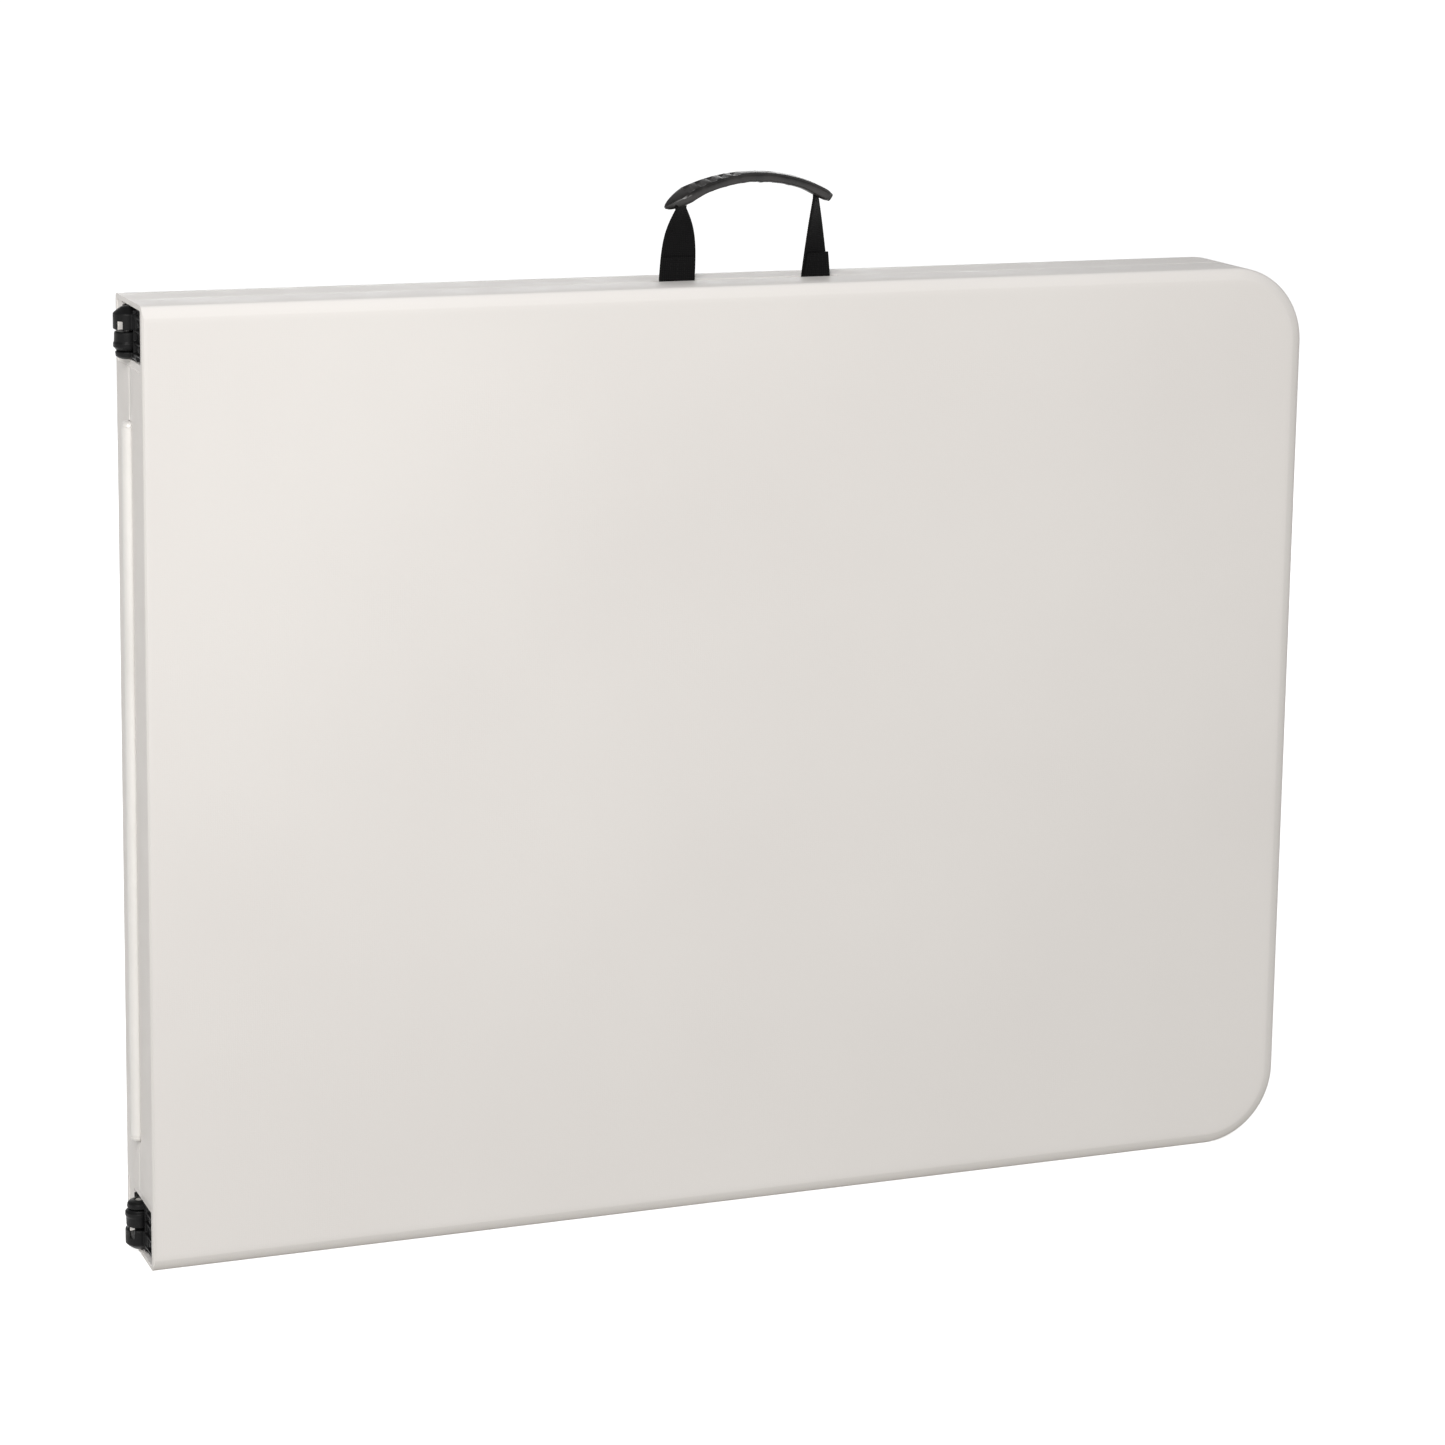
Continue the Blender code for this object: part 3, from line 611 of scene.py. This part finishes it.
def fold_tube():
    """Painted stiffening tube with domed plugs, lying between the fold walls."""
    low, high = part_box("fold_tube")
    start, end = (Vector((FOLD.x, FOLD.y, z)) for z in (low.z, high.z))
    bm = bmesh.new()
    length = (end - start).length
    dome = [(0.0, 0.0020), (0.0004, 0.0036), (0.0014, 0.0048), (0.0030, 0.0054), (0.0034, 0.0054)]
    seat = [(0.0036, 0.0050), (0.0042, 0.0050), (0.0044, TUBE_R - 0.0003), (0.0048, TUBE_R)]
    profile = dome + seat
    profile += [(length - x, r) for x, r in reversed(profile)]
    turned(bm, start, end - start, profile, 48)
    finish_piece("stiffening_tube", bm, PALE, "half_a", ["fold_tube"])


# ================================================================ steelwork under the top
RAIL_WALL = 0.0014
RAIL_LIP = 0.0028
RAIL_SCREWS = 7
RAIL_SCREW_MARGIN = 0.030             # from each end of the rail to its first screw


def rail(half, s):
    """Open channel screwed to the underside, its lips turned in."""
    label = "upper" if s > 0 else "lower"
    wall = RAIL_WALL
    (v0, v1), (h0, h1) = RAIL_V, RAIL_H
    left = [(v0, h1), (v0, h0), (v0 + RAIL_LIP, h0), (v0 + RAIL_LIP, h0 + wall)]
    left += [(v0 + wall, h0 + wall), (v0 + wall, h1 - wall)]
    section = left + [(v0 + v1 - v, h) for v, h in reversed(left)]
    bm = bmesh.new()
    stations = [RAIL_U[0] + (RAIL_U[1] - RAIL_U[0]) * k / 16 for k in range(17)]
    loft(bm, [[place(half, u, h, s * v) for v, h in section] for u in stations])
    long_edges = [e for e in bm.edges if abs(e.verts[0].co.x - e.verts[1].co.x) > 0.01]
    bmesh.ops.bevel(bm, geom=long_edges, offset=0.00045, segments=2, profile=0.5, affect="EDGES")
    finish_piece(f"side_rail_{half}_{label}", bm, STEEL, BODY[half], [f"rail_{half}_{label}"])

    heads = bmesh.new()
    middle = s * (v0 + v1) / 2
    run = RAIL_U[1] - RAIL_U[0] - 2 * RAIL_SCREW_MARGIN
    for k in range(RAIL_SCREWS):
        u = RAIL_U[0] + RAIL_SCREW_MARGIN + run * k / (RAIL_SCREWS - 1)
        screw(heads, place(half, u, h1 - wall, middle), Vector((0, -SIDE[half], 0)), 0.0036)
    finish_piece(f"rail_screws_{half}_{label}", heads, ZINC, BODY[half], ())


def on_leg(half, rho, v):
    """A place on the folded leg, measured from its pivot towards the fold."""
    return place(half, PIVOT_U - rho, LEG_H, v)


def weld(bm, centre, along, tube_r, other_r, seed):
    """Weld bead where a tube of tube_r runs into the side of a tube of other_r.

    The bead follows the saddle curve between them, with the uneven width of a hand weld.
    """
    steps, around = 72, 8
    along = along.normalized()
    flat = Vector((0, 1, 0))
    side = along.cross(flat)
    rings = []
    for i in range(steps):
        turn = 2 * math.pi * i / steps
        reach = tube_r * math.sin(turn)
        saddle = math.sqrt(max(other_r ** 2 - (reach * 0.985) ** 2, 0.0))
        out = side * math.cos(turn) + flat * math.sin(turn)
        point = centre + along * (saddle + 0.0004) + out * (tube_r + 0.0002)
        rough = noise.noise(Vector((turn * 4.5, seed, 0.3)))
        fat = 0.0013 + 0.0004 * rough + 0.0002 * math.sin(turn * 26)
        ring = []
        for k in range(around):
            t = 2 * math.pi * k / around
            ring.append(bm.verts.new(point + (out * math.cos(t) + along * math.sin(t)) * fat))
        rings.append(ring)
    for low, high in zip(rings, rings[1:] + rings[:1]):
        ring_faces(bm, low, high)


FOOT_RIBS = 5
RIB_PITCH = 0.0040
GROOVE_DEPTH = 0.0006


def foot_section():
    """Outline of the ribbed foot plug, from the tube's end to its rounded tread."""
    section = [(0.0, LEG_R + 0.0002), (0.0006, FOOT_R)]
    for k in range(FOOT_RIBS):
        at = 0.0035 + RIB_PITCH * k
        floor = FOOT_R - GROOVE_DEPTH
        section += [(at, FOOT_R), (at + 0.0004, floor), (at + 0.0014, floor), (at + 0.0018, FOOT_R)]
    section += [(0.0262, FOOT_R), (0.0282, FOOT_R - 0.0006), (0.0294, FOOT_R - 0.0018)]
    return section + [(FOOT_LENGTH, FOOT_R - 0.0036)]


def leg(half):
    """Pivot tube with open ends, two posts with feet, cross tube and weld beads."""
    body = f"leg_{half}"
    bm = bmesh.new()
    end = PLATE_END + 0.001
    length = 2 * end
    mouth = [(0.0016, 0.0070), (0.0, 0.0072), (0.0003, LEG_R - 0.0008), (0.0012, LEG_R)]
    profile = mouth + [(length - x, r) for x, r in reversed(mouth)]
    turned(bm, on_leg(half, 0, -end), Vector((0, 0, 1)), profile, 48)
    finish_piece(f"pivot_bar_{half}", bm, STEEL, body, [f"pivot_tube_{half}"])

    beads = bmesh.new()
    for s, label in ((-1, "lower"), (1, "upper")):
        v = s * POST_V[half]
        bm = bmesh.new()
        low, high = on_leg(half, 0.004, v), on_leg(half, LEG_LENGTH - 0.006, v)
        bar(bm, low, high, LEG_R, 0.0008, 48)
        finish_piece(f"leg_post_{half}_{label}", bm, STEEL, body, [f"post_{half}_{label}"])
        weld(beads, on_leg(half, 0, v), Vector((-1, 0, 0)), LEG_R, LEG_R, 3.1 * s)
        weld(beads, on_leg(half, CROSSBAR_RHO, v), Vector((0, 0, -s)), CROSSBAR_R, LEG_R, 7.7 * s)

        bm = bmesh.new()
        seat = on_leg(half, LEG_LENGTH - FOOT_LENGTH, v)
        turned(bm, seat, Vector((-1, 0, 0)), foot_section(), 48)
        nodes = [f"foot_{half}_{label}"]
        finish_piece(f"foot_cap_{half}_{label}", bm, PLASTIC, body, nodes)

    bm = bmesh.new()
    reach = POST_V[half] - LEG_R * 0.8
    bar(bm, on_leg(half, CROSSBAR_RHO, -reach), on_leg(half, CROSSBAR_RHO, reach), CROSSBAR_R, 0.0006, 40)
    finish_piece(f"cross_tube_{half}", bm, STEEL, body, [f"crossbar_{half}"])
    finish_piece(f"weld_beads_{half}", beads, STEEL, body, (), 60)


# Bush in the brace's tongue: distance out of the tongue's side, radius.
BUSH_SECTION = ((-0.0030, 0.0028), (0.0, 0.0028), (0.00003, 0.0030), (0.0002, 0.0030))
BUSH_INSET = 0.008
TONGUE_HALF = 0.0040


def small_fasteners(half):
    """Screws that hold the pivot plates and the brace fork, and the bushes of the brace's tongue."""
    inward = Vector((0, -SIDE[half], 0))
    bm = bmesh.new()
    for s in (-1, 1):
        for back in BRACKET_SCREWS:
            seat = place(half, PIVOT_U - back, BRACKET_H - 0.0025, s * PLATE_SCREW_V)
            screw(bm, seat, inward, 0.0026)
        seat = place(half, FORK_U - BRACKET_SCREWS[0], BRACKET_H - 0.0022, s * FORK_SCREW_V)
        screw(bm, seat, inward, 0.0028)
    finish_piece(f"bracket_screws_{half}", bm, ZINC, BODY[half], ())

    bm = bmesh.new()
    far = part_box(f"brace_{half}")[0].x + BUSH_INSET
    for s in (-1, 1):
        y, z = FOLD.y + SIDE[half] * LEG_H, PANEL_LOW.z + HALF_WIDTH + s * TONGUE_HALF
        turned(bm, Vector((far, y, z)), Vector((0, 0, s)), BUSH_SECTION, 24)
    finish_piece(f"tongue_bush_{half}", bm, ZINC, f"brace_{half}", ())


# ================================================================ carrying handle
STRAP_SPACING = 0.1098
STRAP_THICK = 0.0022
# Width, twist at the grip in degrees and how it builds up, lean of the top, part of the width
# that is lost where the webbing bunches up in the grip, side of the sewn step.
STRAPS = {
    "left": {"width": 0.0280, "twist": 44.0, "build_up": 2.0, "lean": 0.0025, "gather": 0.40, "step": -1},
    "right": {"width": 0.0212, "twist": 57.0, "build_up": 0.8, "lean": 0.0, "gather": 0.25, "step": 1},
}
GRIP_TOP = 0.0795                     # crown of the arch above the long edge
GRIP_LENGTH = 0.130
GRIP_RISE = 0.0186                    # of the arch, from its ends to its crown
GRIP_TILT = math.radians(2.5)
GRIP_THICK = 0.0038                   # half the thickness
GRIP_HALF_WIDTH = 0.0100
GRIP_ROLL = math.radians(14)          # at the left end, towards half a
RIGHT_ROLL = 0.4                      # part of that roll at the right end
GRIP_GAP = 0.0012                     # from the grip's underside to where the strap's twist ends
WARP_PITCH = 0.0026
WEFT_PITCH = 0.0017
WEAVE_RELIEF = 0.00010
WEAVE_STEPS = 5                       # vertices for each thread
STRAP_FOOT = 0.0015                   # the straps start this far below the swing axis
STRAP_TUCK = 0.0022                   # how far the webbing runs up into the grip
SEWN_TOP = 0.0178
SEWN_OVERRUN = 0.002                  # the sewn end reaches this far below the strap's start
SEWN_SHIFT = 0.0011
STITCH_ROWS = 5
STITCH_MARGIN = 0.0030
STITCH_HALF = 0.0010
STITCH_R = 0.00032
# One stitch from end to end: part of its half length, part of its radius.
STITCH_SECTION = ((-1.0, 0.25), (-0.8, 0.75), (-0.3, 1.0), (0.3, 1.0), (0.8, 0.75), (1.0, 0.25))


def grip_height(x):
    """Centre line of the grip above the long edge, x from the middle of the handle."""
    half_span = GRIP_LENGTH / 2
    radius = (half_span ** 2 + GRIP_RISE ** 2) / (2 * GRIP_RISE)
    drop = radius - math.sqrt(radius ** 2 - x ** 2)
    return GRIP_TOP - GRIP_THICK - drop + x * math.sin(GRIP_TILT)


def woven_band(name, frame_at, length, width):
    """Webbing with its basket weave as real relief; frame_at(t) gives centre, across and outward."""
    rows = max(int(length / WEFT_PITCH * WEAVE_STEPS), 8)
    columns = max(int(width / WARP_PITCH * WEAVE_STEPS), 8)
    bm = bmesh.new()
    layer = bm.loops.layers.uv.new("UVMap")
    where = {}
    rings = []
    for i in range(rows + 1):
        t = i / rows
        centre, across, outward = frame_at(t)
        ring = []
        for face in (1, -1):
            for k in range(columns + 1):
                x = (2 * k / columns - 1) * face
                edge = max(1 - abs(x) ** 14, 0.0) ** 0.5
                warp = math.sin(2 * math.pi * x * width / 2 / WARP_PITCH)
                wave = math.sin(2 * math.pi * t * length / WEFT_PITCH + 0.9 * warp) * (0.8 + 0.2 * warp)
                rise = (STRAP_THICK / 2 - WEAVE_RELIEF) * (0.45 + 0.55 * edge) + WEAVE_RELIEF * wave * edge
                vert = bm.verts.new(centre + across * (x * width / 2) + outward * (face * rise))
                where[vert] = (x * width / 2 * face, t * length)
                ring.append(vert)
        rings.append(ring)
    for low, high in zip(rings, rings[1:]):
        ring_faces(bm, low, high)
    bm.faces.new(list(reversed(rings[0])))
    bm.faces.new(rings[-1])
    for face in bm.faces:
        for loop in face.loops:
            loop[layer].uv = where[loop.vert]
    return finish_piece(name, bm, WEBBING, None, sharp=70)


def strap_frame(label, s, z_low, z_high, shift=0.0, push=0.0):
    """Frames along a strap: it rises from the notch and turns as it nears the grip."""
    look = STRAPS[label]
    x = s * STRAP_SPACING / 2
    foot = SWING.z - EDGE_Z - STRAP_FOOT
    roll_drop = GRIP_HALF_WIDTH * math.sin(GRIP_ROLL) * (1.0 if s < 0 else RIGHT_ROLL)
    drop = GRIP_THICK + GRIP_GAP + roll_drop
    top = grip_height(x) - drop

    def gather(rise):
        """The webbing bunches up where it enters the grip."""
        return 1 - look["gather"] * max(min(rise, 1.0), 0.0) ** 6

    def frame_at(t):
        z = z_low + (z_high - z_low) * t
        rise = (z - foot) / (top - foot)
        turn = math.radians(look["twist"]) * max(min(rise, 1.0), 0.0) ** look["build_up"]
        across = Vector((math.cos(turn), math.sin(turn), 0))
        outward = Vector((-math.sin(turn), math.cos(turn), 0)) * -1
        centre = Vector((SWING.x + x + look["lean"] * max(rise, 0), 0, EDGE_Z + z))
        return centre + across * shift + outward * push, across * gather(rise), outward

    return frame_at, foot, top


def stitches(bm, frame_at, columns, rows, reach):
    """Rows of thread that sew two layers of webbing together."""
    up = Vector((0, 0, 1))
    turn = [2 * math.pi * k / 8 for k in range(8)]
    for i in range(rows):
        t = (i + 0.5) / rows
        centre, across, outward = frame_at(t)
        for x in columns:
            start = centre + across * x + outward * reach
            loops = []
            for along, swell in STITCH_SECTION:
                r = STITCH_R * swell
                at = start + up * (along * STITCH_HALF)
                loops.append([at + (across * math.cos(a) + outward * math.sin(a)) * r for a in turn])
            loft(bm, loops)


def bending(piece, nodes=()):
    """Webbing with its placement baked into its mesh and the CAD nodes that it replaces hidden; it is
    attached to no body.
    """
    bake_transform(piece)
    if nodes:
        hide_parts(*nodes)


def strap(label, s):
    """Webbing from the notch to the grip, with the sewn doubled end below."""
    width, step = STRAPS[label]["width"], STRAPS[label]["step"]
    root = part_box(f"strap_root_{label}")[0].z - EDGE_Z
    _, foot, top = strap_frame(label, s, 0.0, 1.0)
    high = top + STRAP_TUCK
    frame_at, _, _ = strap_frame(label, s, root, high)
    band = woven_band(f"handle_strap_{label}", frame_at, high - root, width)
    bending(band, [f"strap_{label}", f"strap_root_{label}"])

    start, push = foot - SEWN_OVERRUN, STRAP_THICK * 0.94
    lower, _, _ = strap_frame(label, s, start, SEWN_TOP, SEWN_SHIFT * step, push)
    length = SEWN_TOP - foot + SEWN_OVERRUN
    bending(woven_band(f"sewn_end_{label}", lower, length, width - 0.0006))
    thread = bmesh.new()
    inner = width / 2 - STITCH_MARGIN
    columns = [-inner + 2 * inner * k / 4 for k in range(5)]
    stitches(thread, lower, columns, STITCH_ROWS, STRAP_THICK / 2 - 0.0001)
    bending(finish_piece(f"stitching_{label}", thread, THREAD, None, sharp=60))


FINGER_SLOTS = [-0.0455 + 0.0088 * k for k in range(5)]   # their places along the grip
SLOT_HALF = 0.0021
SLOT_REACH = 0.0062                   # half the slots' length across the grip
SLOT_DEPTH = 0.0015
SLOT_LIP = 0.00035                    # height of the raised edge beside each slot


def flare(x, start, stop):
    """Smooth step from 0 to 1 between two places along the grip."""
    t = max(min((x - start) / (stop - start), 1.0), 0.0)
    return t * t * (3 - 2 * t)


def grip():
    """Moulded arched grip: finger slots on the left, a ragged parting line below, pointed left end."""
    stations, around = 150, 56
    half_span = GRIP_LENGTH / 2
    bm = bmesh.new()
    rings = []
    for i in range(stations + 1):
        x = half_span * math.sin(math.pi * (i / stations - 0.5))
        low, high = max(x - 1e-4, -half_span), min(x + 1e-4, half_span)
        slope = (grip_height(high) - grip_height(low)) / (high - low)
        along = Vector((1, 0, slope)).normalized()
        roll = GRIP_ROLL * max(-x / half_span, RIGHT_ROLL * x / half_span)
        up = Vector((0, -math.sin(roll), math.cos(roll)))
        up = (up - along * up.dot(along)).normalized()
        side = along.cross(up)
        end = math.sqrt(max(1 - (abs(x) / half_span) ** (18 if x < 0 else 60), 0.10 if x < 0 else 0.62))
        point = min(1.0, 0.34 + 0.66 * (x + half_span) / 0.017) if x < 0 else 1.0
        centre = Vector((SWING.x + x, 0, EDGE_Z + grip_height(x)))
        ring = []
        for k in range(around):
            t = 2 * math.pi * k / around
            cos, sin = (math.copysign(abs(f(t)) ** 0.62, f(t)) for f in (math.cos, math.sin))
            y, z = GRIP_HALF_WIDTH * end * point * cos, GRIP_THICK * end * (0.4 + 0.6 * point) * sin
            if sin > 0.5:
                for at in FINGER_SLOTS:
                    ridge = math.exp(-((abs(x - at) - 0.0027) / 0.0006) ** 2)
                    dip = 1 / (1 + math.exp((abs(x - at) - SLOT_HALF) / 0.0003))
                    inside = 1 / (1 + math.exp((abs(y) - SLOT_REACH) / 0.0004))
                    z += (SLOT_LIP * ridge - SLOT_DEPTH * dip) * inside
                z -= 0.0004 * math.exp(-((abs(y) - 0.0082) / 0.0005) ** 2)
            if sin < 0:
                z += sin * end * (0.0024 * flare(-x, 0.036, 0.056) + 0.0010 * flare(x, 0.040, 0.056))
            if sin < -0.5 and abs(y) > 0.004:
                ragged = noise.noise(Vector((x * 260.0, 2.0 + math.copysign(1, y), 0.5)))
                z -= 0.0006 * max(ragged, 0) * (1.8 if x > 0.006 else 0.5)
            ring.append(bm.verts.new(centre + side * y + up * z))
        rings.append(ring)
    for low, high in zip(rings, rings[1:]):
        ring_faces(bm, low, high)
    bm.faces.new(list(reversed(rings[0])))
    bm.faces.new(rings[-1])
    finish_piece("carry_grip", bm, GRIP, "handle", ["handle_grip"], 55)


# ================================================================ stage, light and camera
def area(name, location, target, size, power, colour=(1, 1, 1)):
    """Rectangular lamp that faces its target; power is in watts."""
    light = bpy.data.lights.new(name, "AREA")
    light.shape = "RECTANGLE"
    light.size, light.size_y = size
    light.energy = power
    light.color = colour
    obj = bpy.data.objects.new(name, light)
    obj.location = location
    obj.rotation_euler = (Vector(target) - Vector(location)).to_track_quat("-Z", "Y").to_euler()
    bpy.context.scene.collection.objects.link(obj)


# Light of the room over elevation, from 0 straight below to 1 straight above.
WORLD_BELOW = (0.14, 0.13, 0.11)
WORLD_ABOVE = (0.27, 0.27, 0.27)
WORLD_STOPS = (
    (0.44, (0.34, 0.32, 0.28)),
    (0.495, (1.0, 1.0, 1.0)),
    (0.55, (1.0, 1.0, 1.0)),
    (0.62, (0.50, 0.50, 0.50)),
)


def studio_world():
    """Soft room: bright around the horizon, dimmer above and darkest below."""
    world = bpy.data.worlds.new("studio")
    world.use_nodes = True
    tree = world.node_tree
    back = tree.nodes["Background"]
    coords = tree.nodes.new("ShaderNodeTexCoord")
    height = tree.nodes.new("ShaderNodeSeparateXYZ")
    ramp = tree.nodes.new("ShaderNodeValToRGB")
    remap = tree.nodes.new("ShaderNodeMapRange")
    remap.inputs["From Min"].default_value = -1.0
    tree.links.new(coords.outputs["Generated"], height.inputs["Vector"])
    tree.links.new(height.outputs["Z"], remap.inputs["Value"])
    tree.links.new(remap.outputs["Result"], ramp.inputs["Fac"])
    tree.links.new(ramp.outputs["Color"], back.inputs["Color"])
    stops = ramp.color_ramp.elements
    stops[0].position, stops[0].color = 0.0, (*WORLD_BELOW, 1)
    stops[1].position, stops[1].color = 1.0, (*WORLD_ABOVE, 1)
    for at, colour in WORLD_STOPS:
        stops.new(at).color = (*colour, 1)
    back.inputs["Strength"].default_value = 1.0
    bpy.context.scene.world = world


FLOOR_RADIUS = 60.0
FLOOR_GLOW = 0.72


def stage():
    """Pale floor with a glow, so that it reads white; it throws no light back on the object."""
    n = Nodes("pale_floor")
    colour = n.ramp(n.noise(0.8, 2.0), (0.90, 0.90, 0.90), (0.92, 0.92, 0.92))
    mat = n.set(Base_Color=colour, Roughness=0.9, Specular_IOR_Level=0.1)
    n.set(Emission_Color=(1, 1, 1, 1), Emission_Strength=FLOOR_GLOW)
    bm = bmesh.new()
    bmesh.ops.create_circle(bm, cap_ends=True, segments=96, radius=FLOOR_RADIUS)
    floor = finish_piece("floor", bm, mat, None)
    floor.visible_diffuse = False
    studio_world()
    area("key", (-1.55, -2.55, 2.05), (0, 0, 0.40), (1.2, 1.2), 74.0, (1.0, 0.985, 0.97))
    area("back_fill", (0.6, 3.4, 1.2), (0, 0, 0.35), (2.4, 1.6), 24.0)
    bpy.context.scene.view_settings.view_transform = "Standard"


# The camera's heading is turned from +Y towards +X, and it looks down by its pitch.
CAMERA_PLACE = Vector((-1.0679, -2.7569, 1.0727))
CAMERA_YAW = math.radians(21.23)
CAMERA_PITCH = math.radians(10.25)
CAMERA_ROLL = math.radians(0.79)
CAMERA_LENS = 99.8
CAMERA_SHIFT_X = -0.0045
CAMERA_SHIFT_Y = -0.154


def camera():
    data = bpy.data.cameras.new("camera")
    data.sensor_width = 36.0
    data.lens = CAMERA_LENS
    data.shift_x, data.shift_y = CAMERA_SHIFT_X, CAMERA_SHIFT_Y
    data.clip_start, data.clip_end = 0.05, 100.0
    obj = bpy.data.objects.new("camera", data)
    turn = Matrix.Rotation(-CAMERA_YAW, 4, "Z")
    tilt = Matrix.Rotation(math.radians(90) - CAMERA_PITCH, 4, "X")
    roll = Matrix.Rotation(CAMERA_ROLL, 4, "Z")
    obj.matrix_world = Matrix.Translation(CAMERA_PLACE) @ turn @ tilt @ roll
    bpy.context.scene.collection.objects.link(obj)
    bpy.context.scene.camera = obj


# CAD nodes, by how their names start, that keep their shape and take a finished material.
KEPT = {
    "pivot_plate": STEEL, "brace_fork": STEEL, "brace_a": STEEL, "brace_b": STEEL,
    "brace_collar": PLASTIC, "leg_clip": PLASTIC, "strap_anchor": PLASTIC, "hinge_pin": ZINC,
}
for node, obj in frame["nodes"].items():
    for prefix, mat in KEPT.items():
        if node.startswith(prefix):
            obj.data.materials.clear()
            obj.data.materials.append(mat)

for side in "ab":
    tabletop(side)
    leg(side)
    small_fasteners(side)
    for end in (-1, 1):
        hinge(side, end)
        rail(side, end)
fold_tube()
grip()
strap("left", -1)
strap("right", 1)
stage()
camera()
